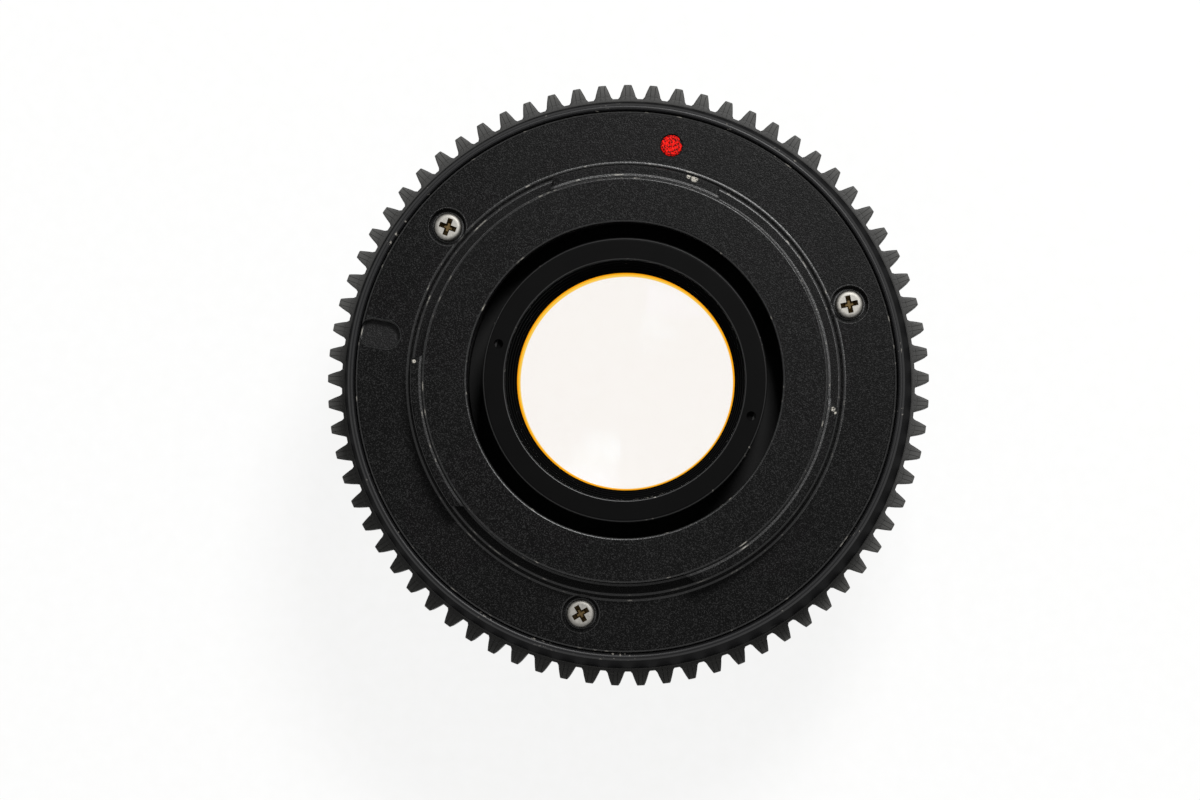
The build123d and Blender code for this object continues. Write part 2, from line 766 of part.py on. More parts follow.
def focus_key_block(growth):
    """The focus key at +Y: its foot is let into the nut and its head reaches into the ring."""
    low = nut_seat_radius - running_fit - focus_key_depth
    high = ring_bore + focus_key_reach
    block = Box(focus_key_width + 2 * growth, high - low, focus_key_height + 2 * growth)
    return Pos(0, (low + high) / 2, focus_key_z) * block


def make_focus_key():
    """Block that carries the ring's turn through the main barrel's slot to the nut."""
    head_seat = ring_bore + focus_key_reach - key_screw_head_height - pin_fit
    key = clock_place(focus_key_clock) * focus_key_block(0.0)
    floor = nut_seat_radius - running_fit - focus_key_depth
    key -= radial_post(key_screw_radius, floor - cut_past, head_seat, focus_key_clock, focus_key_z)
    return key - radial_post(key_screw_head_radius, head_seat, ring_bore + focus_key_reach + cut_past,
                             focus_key_clock, focus_key_z)


def make_focus_key_screw():
    """Screw that holds the key on the nut."""
    head_seat = ring_bore + focus_key_reach - key_screw_head_height - pin_fit
    floor = nut_seat_radius - running_fit - focus_key_depth
    shank = radial_post(key_screw_radius, floor - key_screw_grip, head_seat, focus_key_clock, focus_key_z)
    head_top = head_seat + key_screw_head_height
    head = radial_post(key_screw_head_radius, head_seat, head_top, focus_key_clock, focus_key_z)
    slot = Box(key_screw_slot_width, 2 * key_screw_slot_depth, 2 * key_screw_head_radius + cut_past)
    return shank + head - clock_place(focus_key_clock) * Pos(0, head_top, focus_key_z) * slot


def make_inner_helicoid():
    """Body of the optical unit: it slides in the main barrel and is threaded in the focus nut."""
    crest_half, root_half = thread_halves(-1)
    root = thread_crest_radius - thread_depth
    body = tube(0, unit_radius, unit_land_front, unit_rear)
    body += thread_core(thread_crest_radius, root, crest_half, root_half, unit_thread_front, unit_land_front)
    body += tube(0, root, unit_front, unit_thread_front)
    body -= tube(0, unit_front_bore_radius, unit_front - cut_past, unit_rear)
    body -= tube(0, unit_rear_bore_radius, base_front, unit_rear + cut_past)
    key_top = guide_key_z + guide_key_length / 2 + focus_travel + face_gap
    width = guide_key_width + 2 * pin_fit
    key_low = unit_land_front - cut_past
    depth = guide_key_depth + cut_past
    keyway = Box(width, depth, key_top - key_low)
    place = Pos(0, unit_radius - guide_key_depth + depth / 2, (key_top + key_low) / 2)
    for clock in guide_key_clocks:
        body -= clock_place(clock) * place * keyway
    half = degrees(asin(aperture_pin_radius / unit_rear_bore_radius)) + 2 * stop_margin
    reach = aperture_pin_radius + face_gap
    body -= arc_block(unit_rear_bore_radius - cut_past, unit_radius + cut_past,
                      aperture_pin_clock - aperture_throw - half, aperture_pin_clock + half,
                      aperture_pin_z - reach, aperture_pin_z + reach + focus_travel)
    for clock in base_screw_clocks:
        body -= radial_post(base_screw_radius, unit_front_bore_radius, unit_radius + cut_past, clock,
                            base_screw_z)
    for clock in cell_screw_clocks:
        spot = clock_point(cell_screw_circle, clock)
        body -= post(cell_screw_radius, unit_rear - cell_screw_grip, unit_rear + cut_past,
                     spot.X, spot.Y)
    return body


def make_front_cell():
    """Carries the front element and, from behind, the cemented pair."""
    outer = unit_front_bore_radius - static_fit
    face = front_cell_front
    mouth = front_element_radius + static_fit
    bore = front_group_radius + static_fit
    throat = clear_2 + cell_throat_margin
    return turned((mouth, face), (front_cell_flange_radius - cell_edge, face),
                  (front_cell_flange_radius, face + cell_edge), (front_cell_flange_radius, unit_front),
                  (outer, unit_front), (outer, front_cell_rear),
                  (bore, front_cell_rear), (bore, lens_2_front), (throat, lens_2_front),
                  (throat, lens_1_rear), (mouth, lens_1_rear))


def make_rear_cell():
    """Carries the rear group: its flange is screwed on the unit and its front end keeps the rotor."""
    body = rear_cell_body_radius
    flange = unit_radius - cell_flange_margin
    flange_top = unit_rear + rear_cell_flange_thickness
    neck_top = flange_top + rear_cell_neck_length
    bore = rear_group_radius + static_fit
    tail = rear_element_radius + static_fit
    throat = clear_8 + cell_throat_margin
    cell = turned((bore, rear_cell_front), (body, rear_cell_front), (body, unit_rear), (flange, unit_rear),
                  (flange, flange_top), (rear_cell_neck_radius, flange_top),
                  (rear_cell_neck_radius, neck_top - rear_cell_neck_taper),
                  (rear_tube_radius, neck_top), (rear_tube_radius, rear_tube_top), (tail, rear_tube_top),
                  (tail, lens_6_front), (throat, lens_6_front), (throat, lens_5_rear), (bore, lens_5_rear))
    for clock in cell_screw_clocks:
        spot = clock_point(cell_screw_circle, clock)
        cell -= post(cell_screw_radius + pin_fit, unit_rear - cut_past, flange_top + cut_past,
                     spot.X, spot.Y)
    return cell


def make_rear_cell_screws():
    """Three small screws through the rear cell's flange."""
    seat = unit_rear + rear_cell_flange_thickness
    screws = []
    for clock in cell_screw_clocks:
        spot = clock_point(cell_screw_circle, clock)
        grip = rear_cell_flange_thickness + cell_screw_grip - screw_tip_gap
        screws.append(pan_screw(spot.X, spot.Y, seat, cell_screw_head_radius, cell_screw_head_height,
                                cell_screw_radius, grip))
    return screws


def spanner_ring(clear, outer, low, high, hole_face):
    """A threaded retaining ring with two spanner holes in one face."""
    ring = tube(clear, outer, low, high)
    middle = (clear + outer) / 2
    depth = ring_hole_depth
    for clock in ring_hole_clocks:
        spot = clock_point(middle, clock)
        ring -= post(spanner_radius, hole_face - depth, hole_face + depth, spot.X, spot.Y)
    return ring


def make_rear_retaining_ring():
    """The ring seen round the rear element: a flange, a threaded body and a conical throat."""
    top = rear_tube_top + rear_ring_flange
    edge = rear_ring_edge
    lip = rear_ring_lip
    ring = turned((rear_ring_throat_radius, lens_7_rear), (rear_element_radius, lens_7_rear),
                  (rear_element_radius, rear_tube_top), (rear_tube_radius, rear_tube_top),
                  (rear_tube_radius, top - edge), (rear_tube_radius - edge, top),
                  (rear_ring_mouth_radius + lip, top), (rear_ring_mouth_radius, top - lip))
    for clock in spanner_clocks:
        spot = clock_point(spanner_circle, clock)
        ring -= post(spanner_radius, top - spanner_depth, top + cut_past, spot.X, spot.Y)
    return ring


def make_iris_base():
    """Fixed plate of the iris: its holes carry the blades' pivots."""
    base = tube(iris_open_radius + iris_base_margin, unit_rear_bore_radius - static_fit, base_front,
                base_rear)
    for blade in range(blade_count):
        pivot = blade_pivot(blade)
        base -= post(iris_pin_radius + pin_fit, base_front - cut_past, base_rear + cut_past,
                     pivot.X, pivot.Y)
    for clock in base_screw_clocks:
        base -= radial_post(base_screw_radius, base_screw_tip, unit_rear_bore_radius + cut_past, clock,
                            base_screw_z)
    return base


def make_iris_base_screws():
    """Three grub screws from the side of the optical unit into the iris plate's rim."""
    head = unit_radius - base_screw_sink
    return [radial_post(base_screw_radius, base_screw_tip, head, clock, base_screw_z)
            for clock in base_screw_clocks]


def blade_pivot(blade):
    """Where a blade's pivot stands on the base plate."""
    turn = radians(360.0 * blade / blade_count)
    return Vector(pivot_circle * cos(turn), pivot_circle * sin(turn), 0)


def drive_spot(swing):
    """The drive pin of the blade whose pivot is on +X, when the blade has swung in by so many degrees."""
    # Half way through the swing the arm lies square to the radius, so the pin moves in and out about it
    arm_turn = radians(270.0 - blade_swing / 2 + swing)
    return Vector(pivot_circle + drive_arm * cos(arm_turn), drive_arm * sin(arm_turn), 0)


def make_blade(blade):
    """One iris blade with its two riveted pins, lying in its own layer."""
    low = first_blade_z + blade * blade_pitch
    high = low + blade_thickness
    start = -blade_root
    inner = CenterArc((0, 0), iris_open_radius, start, blade_span + blade_root)
    outer = CenterArc((0, 0), blade_outer_radius, start, blade_span + blade_root)
    tail_way = inner @ 1 - outer @ 1
    bulge = Vector(-tail_way.Y, tail_way.X, 0) * blade_tail_bulge
    tail = ThreePointArc(inner @ 1, (inner @ 1 + outer @ 1) / 2 + bulge, outer @ 1)
    leaf = make_face([inner, outer, Line(inner @ 0, outer @ 0), tail])
    drive = drive_spot(0.0)
    root_middle = (iris_open_radius + blade_outer_radius) / 2 + blade_root_shift
    bosses = [Pos(pivot_circle, 0) * Circle(pivot_boss_radius),
              Pos(drive.X, drive.Y) * Circle(drive_boss_radius),
              Pos(root_middle, 0) * Circle(blade_outer_radius - root_middle)]
    leaf += make_hull([edge for boss in bosses for edge in boss.edges()])
    solid = Pos(0, 0, low) * extrude(leaf, blade_thickness)
    solid += post(iris_pin_radius, base_front + tip_gap, high, pivot_circle, 0)
    solid += post(iris_pin_radius, low, rotor_rear - tip_gap, drive.X, drive.Y)
    return Rot(0, 0, 360.0 * blade / blade_count) * solid


def make_rotor():
    """Slotted ring that swings the blades, with two bent-up prongs for the drive screw."""
    rotor = tube(iris_open_radius + rotor_margin, rotor_radius, rotor_front, rotor_rear)
    half = iris_pin_radius + pin_fit
    steps = rotor_slot_steps
    path = []
    for i in range(steps + 1):
        share = i / steps
        spot = drive_spot(blade_swing * share)
        # The rotor turns with the aperture ring, so in its own frame the pin is left behind
        turn = radians(-aperture_throw * share)
        path.append(Vector(spot.X * cos(turn) - spot.Y * sin(turn),
                           spot.X * sin(turn) + spot.Y * cos(turn), 0))
    left = []
    right = []
    for i, spot in enumerate(path):
        ahead = path[min(i + 1, steps)] - path[max(i - 1, 0)]
        across = Vector(-ahead.Y, ahead.X, 0).normalized() * half
        left.append(spot + across)
        right.append(spot - across)
    slot = make_face(Polyline(*left, *reversed(right), close=True))
    slot += Pos(path[0].X, path[0].Y) * Circle(half)
    slot += Pos(path[-1].X, path[-1].Y) * Circle(half)
    cutter = Pos(0, 0, rotor_front - cut_past) * extrude(slot, rotor_thickness + 2 * cut_past)
    for blade in range(blade_count):
        rotor -= Rot(0, 0, 360.0 * blade / blade_count) * cutter
    gap_half = degrees(asin((aperture_pin_radius + pin_fit) / fork_inner_radius))
    prong = degrees(fork_prong_width / fork_inner_radius)
    top = aperture_pin_z + focus_travel + aperture_pin_radius + face_gap
    for side in (-1, 1):
        near = aperture_pin_clock + side * gap_half
        far = aperture_pin_clock + side * (gap_half + prong)
        # A prong starts above the pins' tips, so that it leaves the slots under it open
        rotor += arc_block(fork_inner_radius, fork_outer_radius, min(near, far), max(near, far),
                           rotor_rear - tip_gap / 2, top)
    return rotor


# Places that need the sizes of two neighbours
rear_grub_z = (main_rear + skirt_front) / 2
front_grub_z = (front_rear + main_front) / 2
cell_screw_circle = (unit_rear_bore_radius + unit_radius) / 2
base_screw_z = (base_front + base_rear) / 2
base_screw_tip = unit_rear_bore_radius - base_screw_reach
front_ring_clear = clear_1 + front_ring_margin
front_ring_face = lens_1_front - front_ring_length
pair_ring_clear = clear_5 + pair_ring_margin
pair_ring_face = lens_3_rear + pair_ring_length
inner_ring_clear = clear_6 + inner_ring_margin
inner_ring_face = lens_4_front - inner_ring_length
spacer_clear = clear_10 + spacer_margin

parts = {
    "mount_plate": make_mount_plate(),
    "mount_screws": make_mount_screws(),
    "index_dot": make_index_dot(),
    "mount_shim": make_mount_shim(),
    "rear_barrel": make_rear_barrel(),
    "rear_barrel_screws": grub_set(rear_grub_clocks, rear_grub_z),
    "main_barrel": make_main_barrel(),
    "guide_keys": make_guide_keys(),
    "index_sleeve": make_index_sleeve(),
    "index_sleeve_screws": grub_set(sleeve_grub_clocks, guide_key_z),
    "helicoid_retainer": make_helicoid_retainer(),
    "front_barrel": make_front_barrel(),
    "front_barrel_screws": grub_set(front_grub_clocks, front_grub_z),
    "front_trim_ring": make_front_trim_ring(),
    "aperture_ring": make_aperture_ring(),
    "aperture_drive_screw": make_aperture_drive_screw(),
    "focus_ring": make_focus_ring(),
    "focus_helicoid": make_focus_helicoid(),
    "focus_key": make_focus_key(),
    "focus_key_screw": make_focus_key_screw(),
    "inner_helicoid": make_inner_helicoid(),
    "front_cell": make_front_cell(),
    "front_retaining_ring": spanner_ring(front_ring_clear, front_element_radius, front_ring_face,
                                         lens_1_front, front_ring_face),
    "lens_1": lens_element(lens_1_front, lens_1_rear, front_element_radius, clear_1, clear_2,
                           curve_1, curve_2),
    "lens_2": lens_element(lens_2_front, lens_2_rear, front_group_radius, clear_3, clear_4,
                           curve_3, curve_4),
    "lens_3": lens_element(lens_2_rear, lens_3_rear, front_group_radius, clear_4, clear_5,
                           curve_4, curve_5),
    "pair_retaining_ring": spanner_ring(pair_ring_clear, front_group_radius, lens_3_rear,
                                        pair_ring_face, pair_ring_face),
    "rear_cell": make_rear_cell(),
    "rear_cell_screws": make_rear_cell_screws(),
    "inner_retaining_ring": spanner_ring(inner_ring_clear, rear_group_radius, inner_ring_face,
                                         lens_4_front, inner_ring_face),
    "lens_4": lens_element(lens_4_front, lens_4_rear, rear_group_radius, clear_6, clear_7,
                           curve_6, curve_7),
    "lens_5": lens_element(lens_4_rear, lens_5_rear, rear_group_radius, clear_7, clear_8,
                           curve_7, curve_8),
    "lens_6": lens_element(lens_6_front, lens_6_rear, rear_element_radius, clear_9, clear_10,
                           curve_9, curve_10),
    "rear_spacer": tube(spacer_clear, rear_element_radius, lens_6_rear, lens_7_front),
    "lens_7": lens_element(lens_7_front, lens_7_rear, rear_element_radius, clear_11, clear_12,
                           curve_11, curve_12),
    "rear_retaining_ring": make_rear_retaining_ring(),
    "iris_base": make_iris_base(),
    "iris_base_screws": make_iris_base_screws(),
    "iris_rotor": make_rotor(),
}
for number in range(blade_count):
    parts[f"iris_blade_{number + 1:02d}"] = make_blade(number)

os.makedirs("parts", exist_ok=True)
for name, shape in parts.items():
    pieces = shape if isinstance(shape, list) else [shape]
    solids = [solid for piece in pieces for solid in piece.solids()]
    whole = solids[0] if len(solids) == 1 else Compound(children=solids)
    export_step(whole, f"parts/{name}.step")
    print(f"{name:24s} {len(solids)} solid(s) {sum(s.volume for s in solids):9.2f} mm3")
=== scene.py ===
# %% [markdown]
# # A compact cine lens, dressed for its portrait
#
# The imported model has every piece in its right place, in metres, with +Z pointing into the camera
# body. This lesson gives the pieces that show a finer surface, paints every piece with its real
# finish, and sets up the floor, the light and the camera. Sizes are written in millimetres, as on
# the drawing, and one factor turns them into Blender's metres.

# %% Load the frame
import json

import bmesh
import bpy
import numpy as np
from mathutils import Matrix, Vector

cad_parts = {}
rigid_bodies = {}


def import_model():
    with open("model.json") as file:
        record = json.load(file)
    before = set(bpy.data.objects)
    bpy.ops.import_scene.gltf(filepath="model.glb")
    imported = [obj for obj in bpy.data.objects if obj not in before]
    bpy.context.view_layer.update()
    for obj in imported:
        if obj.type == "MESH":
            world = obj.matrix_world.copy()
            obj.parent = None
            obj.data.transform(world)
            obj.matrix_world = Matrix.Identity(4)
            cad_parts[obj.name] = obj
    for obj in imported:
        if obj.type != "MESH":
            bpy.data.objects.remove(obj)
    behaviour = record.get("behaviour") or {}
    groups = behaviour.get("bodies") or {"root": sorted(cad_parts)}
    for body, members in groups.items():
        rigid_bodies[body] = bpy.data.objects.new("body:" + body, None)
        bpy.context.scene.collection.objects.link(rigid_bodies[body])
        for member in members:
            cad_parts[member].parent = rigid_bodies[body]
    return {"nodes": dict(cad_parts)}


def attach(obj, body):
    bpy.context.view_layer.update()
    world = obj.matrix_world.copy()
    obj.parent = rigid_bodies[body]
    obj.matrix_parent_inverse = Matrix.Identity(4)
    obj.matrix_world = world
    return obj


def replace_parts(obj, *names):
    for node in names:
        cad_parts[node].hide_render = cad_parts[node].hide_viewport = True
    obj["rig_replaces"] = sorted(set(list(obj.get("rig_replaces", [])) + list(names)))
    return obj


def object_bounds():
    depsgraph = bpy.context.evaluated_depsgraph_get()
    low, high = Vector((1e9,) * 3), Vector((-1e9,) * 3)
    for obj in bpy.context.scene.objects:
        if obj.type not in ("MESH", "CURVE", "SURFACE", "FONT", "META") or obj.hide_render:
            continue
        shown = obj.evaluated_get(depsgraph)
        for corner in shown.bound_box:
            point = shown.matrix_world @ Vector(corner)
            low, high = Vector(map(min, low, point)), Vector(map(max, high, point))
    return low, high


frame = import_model()
scene = bpy.context.scene
cad_box = [list(corner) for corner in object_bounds()]

# %% [markdown]
# ## Camera first
#
# The photograph looks almost straight down on the mount from about 43 cm, with a long lens, so the
# rings look round and only a sliver of the geared ring's side shows. The lens stands on its front
# rim, so the camera hangs above it. Two cross products build the camera's right and up from the
# line of sight, and the lamp is aimed the same way later. A line through the seven elements crosses
# fourteen clear faces, so more of them are allowed than the usual eight.

# %% Camera
MM = 0.001


def aim(name, data, place, target):
    """Puts a camera or lamp at a place in mm, looking at a target along its own -Z."""
    sight = np.array(target) - np.array(place)
    sight /= np.linalg.norm(sight)
    right = np.cross(sight, [0.0, 1.0, 0.0])
    right /= np.linalg.norm(right)
    turn = np.eye(4)
    turn[:3, 0], turn[:3, 1], turn[:3, 2] = right, np.cross(right, sight), -sight
    turn[:3, 3] = np.array(place) * MM
    made = bpy.data.objects.new(name, data)
    made.matrix_world = Matrix(turn.tolist())
    scene.collection.objects.link(made)
    print(name, "at", place, "looks along", sight.round(3))
    return made


camera_data = bpy.data.cameras.new("portrait_camera")
camera_data.lens = 129.4
camera_data.sensor_width = 36.0
camera_data.clip_start = 0.01
scene.camera = aim("portrait_camera", camera_data, (9.2, -14.0, 420.0), (-2.78, -1.53, -10.0))
scene.view_settings.view_transform = "Standard"
scene.cycles.transparent_max_bounces = 32

# %% [markdown]
# ## Surfaces as arrays
#
# Nearly every piece of a lens is turned on a lathe, so its surface is a profile, a list of corners
# (radius, height), carried round the axis. Real corners are never perfectly sharp: a tiny rounding
# draws the thin bright line that tells the eye "machined metal". Each corner therefore becomes a
# short curve, with one extra ring on each side that keeps the flat faces flat. All points of a
# surface are worked out together, as one array.

# %% Profiles
def soften(corners, steps=4):
    """Rounds each corner (radius, height, size) of a closed profile.

    With a the point `size` before the corner c and b the point `size` after it, the curve is
    (1-t)^2 a + 2t(1-t) c + t^2 b for t from 0 to 1. A corner of size 0 stays sharp.
    """
    corners = np.array([list(c) + [0.0] * (3 - len(c)) for c in corners], float)
    points, sizes = corners[:, :2], corners[:, 2]
    before = np.roll(points, 1, axis=0) - points
    after = np.roll(points, -1, axis=0) - points
    out = []
    share = np.linspace(0.0, 1.0, steps + 1)[:, None]
    for c, u, v, size in zip(points, before, after, sizes):
        if size <= 0:
            out.append(c[None])
            continue
        lu, lv = np.linalg.norm(u), np.linalg.norm(v)
        a = c + u / lu * min(size, 0.45 * lu)
        b = c + v / lv * min(size, 0.45 * lv)
        curve = (1 - share) ** 2 * a + 2 * share * (1 - share) * c + share ** 2 * b
        out.append(np.vstack([a + (a - c) * 0.25, curve, b + (b - c) * 0.25]))
    return np.vstack(out)


def counter_clockwise(outline):
    """A profile's points in the order that makes the turned faces look outwards."""
    r, z = outline[:, 0], outline[:, 1]
    doubled_area = np.sum(r * np.roll(z, -1) - z * np.roll(r, -1))
    return outline if doubled_area > 0 else outline[::-1]


def clock(radius, angle):
    """x and y of a point at a radius and at degrees clockwise from +Y, seen from the mount."""
    return radius * np.sin(np.radians(angle)), radius * np.cos(np.radians(angle))


def weave(points, wrap_rows=True, wrap_columns=True):
    """Faces over a grid of points [rows, columns, 3]: each face joins four neighbours."""
    rows, columns = points.shape[:2]
    index = np.arange(rows * columns).reshape(rows, columns)
    if wrap_rows:
        index = np.vstack([index, index[:1]])
    if wrap_columns:
        index = np.hstack([index, index[:, :1]])
    faces = np.stack([index[:-1, :-1], index[:-1, 1:], index[1:, 1:], index[1:, :-1]], axis=-1)
    return points.reshape(-1, 3), faces.reshape(-1, 4)


def turned(outline, around=256):
    """A closed profile (r, z) carried round the axis: x = r cos a, y = r sin a, z = z."""
    outline = counter_clockwise(np.array(outline, float))
    a = np.linspace(0.0, 2 * np.pi, around, endpoint=False)
    r, z = outline[:, 0][:, None], outline[:, 1][:, None]
    points = np.stack([r * np.cos(a), r * np.sin(a), z + 0 * a], axis=-1)
    return weave(points)


def moved(shell, x, y):
    """The same surface at another place on the mount."""
    return shell[0] + np.array([x, y, 0.0]), shell[1]


def aimed(shell, angle, z):
    """A surface drawn round +Z, laid down to point straight out at a clock angle."""
    x, y, out = shell[0].T
    side = np.array(clock(1.0, angle + 90.0))
    way = np.array(clock(1.0, angle))
    across = side[:, None] * x + way[:, None] * out
    return np.stack([across[0], across[1], z - y], axis=-1), shell[1]


print("a softened square has", len(soften([(0, 0, .1), (1, 0, .1), (1, 1, .1), (0, 1, .1)])), "points")

# %% [markdown]
# ## From arrays to pieces
#
# A piece is one or more surfaces in one mesh. Its object stays at the origin, unturned and unscaled,
# and its place is in its points, so a pattern on Object coordinates sits still. Holes are cut with
# a Boolean modifier, which is then applied: a cutter with a flared mouth leaves a neat chamfer.

# %% Pieces
def raw_object(name, shells):
    """One mesh object from several (points in mm, faces) surfaces, with coinciding points merged."""
    starts = np.cumsum([0] + [len(points) for points, _ in shells])
    all_points = np.vstack([points for points, _ in shells]) * MM
    all_faces = [face for (_, faces), start in zip(shells, starts) for face in (faces + start).tolist()]
    mesh = bpy.data.meshes.new(name)
    mesh.from_pydata(all_points, [], all_faces)
    work = bmesh.new()
    work.from_mesh(mesh)
    bmesh.ops.remove_doubles(work, verts=work.verts, dist=2e-7)
    bmesh.ops.dissolve_degenerate(work, edges=work.edges, dist=1e-8)
    work.to_mesh(mesh)
    work.free()
    made = bpy.data.objects.new(name, mesh)
    scene.collection.objects.link(made)
    return made


def cut(piece, shell, operation="DIFFERENCE"):
    """Takes a surface's inside out of a piece, or adds it, and keeps the result as plain faces."""
    tool = raw_object("tool", [shell])
    step = piece.modifiers.new("cut", "BOOLEAN")
    step.operation = operation
    step.solver = "MANIFOLD"
    step.object = tool
    view = bpy.context.evaluated_depsgraph_get()
    result = bpy.data.meshes.new_from_object(piece.evaluated_get(view))
    piece.modifiers.clear()
    old = piece.data
    piece.data = result
    bpy.data.meshes.remove(old)
    bpy.data.objects.remove(tool)


def settle(piece, body, finish, stands_for=(), crease=32.0):
    """Smooths a piece except at its creases, paints it, and ties it to the frame."""
    mesh = piece.data
    mesh.name = piece.name
    mesh.polygons.foreach_set("use_smooth", np.ones(len(mesh.polygons), bool))
    mesh.set_sharp_from_angle(angle=np.radians(crease))
    mesh.materials.clear()
    mesh.materials.append(finish)
    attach(piece, body)
    for node in stands_for:
        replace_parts(piece, node)
    print(f"{piece.name}: {len(mesh.polygons)} faces, rides on {body}")


# %% [markdown]
# ## Finishes
#
# A finish starts from what the part really is. Colours are given as a screen shows them (sRGB hex),
# and one function turns them into the linear values that light obeys. One small function adds any
# node with its settings and links, so a recipe reads from the real pattern, at its size in mm, to
# the shader. Inputs go by number where names are shared: a Map Range has its value at 0, from-low
# and from-high at 1 and 2, to-low and to-high at 3 and 4; a Mix has its share at 0 and its colours
# at 6 and 7.

# %% Colours and nodes
def linear(code):
    """Linear colour of an sRGB hex code such as 1a1a1c."""
    v = np.array([int(code[i:i + 2], 16) for i in (0, 2, 4)]) / 255.0
    v = np.where(v <= 0.04045, v / 12.92, ((v + 0.055) / 1.055) ** 2.4)
    return (*v.tolist(), 1.0)


def add(tree, kind, inputs=None, **settings):
    """Adds one node with its settings; an input takes a value, a socket, or a node's main output."""
    made = tree.nodes.new("ShaderNode" + kind)
    for key, value in settings.items():
        setattr(made, key, value)
    for key, value in (inputs or {}).items():
        if isinstance(value, bpy.types.Node):
            value = next(socket for socket in value.outputs if socket.enabled)
        if isinstance(value, bpy.types.NodeSocket):
            tree.links.new(value, made.inputs[key])
        else:
            made.inputs[key].default_value = value
    return made


def new_finish(name):
    """An empty material and its tree, with the place of each point in mm."""
    finish = bpy.data.materials.new(name)
    finish.use_nodes = True
    tree = finish.node_tree
    tree.nodes.clear()
    place = add(tree, "TexCoord").outputs["Object"]
    in_mm = add(tree, "VectorMath", {0: place, 1: (1000.0,) * 3}, operation="MULTIPLY")
    return finish, tree, in_mm


def from_axis(tree, in_mm):
    """A point's distance from the lens's axis in mm."""
    flat = add(tree, "VectorMath", {0: in_mm, 1: (1.0, 1.0, 0.0)}, operation="MULTIPLY")
    return add(tree, "VectorMath", {0: flat}, operation="LENGTH")


print("screen grey 808080 is linear", round(linear("808080")[0], 3))

# %% [markdown]
# ## The black finishes
#
# The mount is blasted and hard anodised aluminium: black, with a fine grain whose tiny facets
# sparkle; that sparkle is painted in, as lighter specks of the grain colour. The barrels are turned
# and satin anodised, so very fine rings run round them. Handling rubs the black off sharp edges first.
# On turned pieces those are circles, so a narrow band of radii finds them, and noise breaks the band
# into the short worn bits that real use leaves.

# %% Where the black is rubbed off
def edge_mask(tree, radius, edges, half):
    """1 within half a width of a radius at which an edge runs round the lens, otherwise 0."""
    mask = 0.0
    for edge in edges:
        near = add(tree, "Math", {0: radius, 1: edge, 2: half}, operation="COMPARE")
        mask = add(tree, "Math", {0: near, 1: mask}, operation="MAXIMUM")
    return mask


def spot_mask(tree, in_mm, spots):
    """1 inside small balls given as (x, y, z, radius) in mm, fading to 0 at their rims."""
    mask = 0.0
    for x, y, z, size in spots:
        gap = add(tree, "VectorMath", {0: in_mm, 1: (x, y, z)}, operation="DISTANCE")
        near = add(tree, "MapRange", {0: gap, 1: size, 2: size * 0.6})
        mask = add(tree, "Math", {0: near, 1: mask}, operation="MAXIMUM")
    return mask


def dust_mask(tree, in_mm, spacing, size):
    """Few tiny specks: one in five cells of a given spacing holds a speck of a given radius."""
    cells = add(tree, "TexVoronoi", {"Vector": in_mm, "Scale": 1.0 / spacing})
    chance = add(tree, "SeparateColor", {0: cells.outputs["Color"]})
    kept = add(tree, "Math", {0: chance, 1: 0.8}, operation="GREATER_THAN")
    speck = add(tree, "Math", {0: cells, 1: size / spacing}, operation="LESS_THAN")
    return add(tree, "Math", {0: kept, 1: speck}, operation="MULTIPLY")


def slot_distance(tree, in_mm, angle, circle, half_straight):
    """A point's distance from a slot's centre line, which points outwards at a clock angle."""
    away = add(tree, "VectorMath", {0: in_mm, 1: (*clock(circle, angle), 0.0)}, operation="SUBTRACT")
    along = add(tree, "VectorMath", {0: away, 1: (*clock(1.0, angle), 0.0)}, operation="DOT_PRODUCT")
    across = add(tree, "VectorMath", {0: away, 1: (*clock(1.0, angle + 90.0), 0.0)},
                 operation="DOT_PRODUCT")
    size = add(tree, "Math", {0: along}, operation="ABSOLUTE")
    over = add(tree, "Math", {0: size, 1: half_straight}, operation="SUBTRACT")
    over = add(tree, "Math", {0: over, 1: 0.0}, operation="MAXIMUM")
    both = add(tree, "CombineXYZ", {0: over, 1: across})
    return add(tree, "VectorMath", {0: both}, operation="LENGTH")


def bare_mask(tree, in_mm, edge, bits, spots, pits, dust_spacing):
    """Where bare metal shows: in bits along an edge, in the pits of rubbed spots, and as specks."""
    edge = add(tree, "Math", {0: edge, 1: bits}, operation="MULTIPLY")
    chips = add(tree, "Math", {0: spot_mask(tree, in_mm, spots), 1: pits}, operation="MULTIPLY")
    bare = add(tree, "Math", {0: edge, 1: chips}, operation="MAXIMUM")
    specks = dust_mask(tree, in_mm, dust_spacing, 0.05)
    return add(tree, "Math", {0: bare, 1: specks}, operation="MAXIMUM")


# %% Blasted and turned black
screw_places = [clock(23.05, angle) for angle in (71.0, 191.0, 311.0)]
counterbore_radius = 1.78
slot_clock, slot_circle, slot_length, slot_width = 281.0, 24.5, 4.0, 2.6


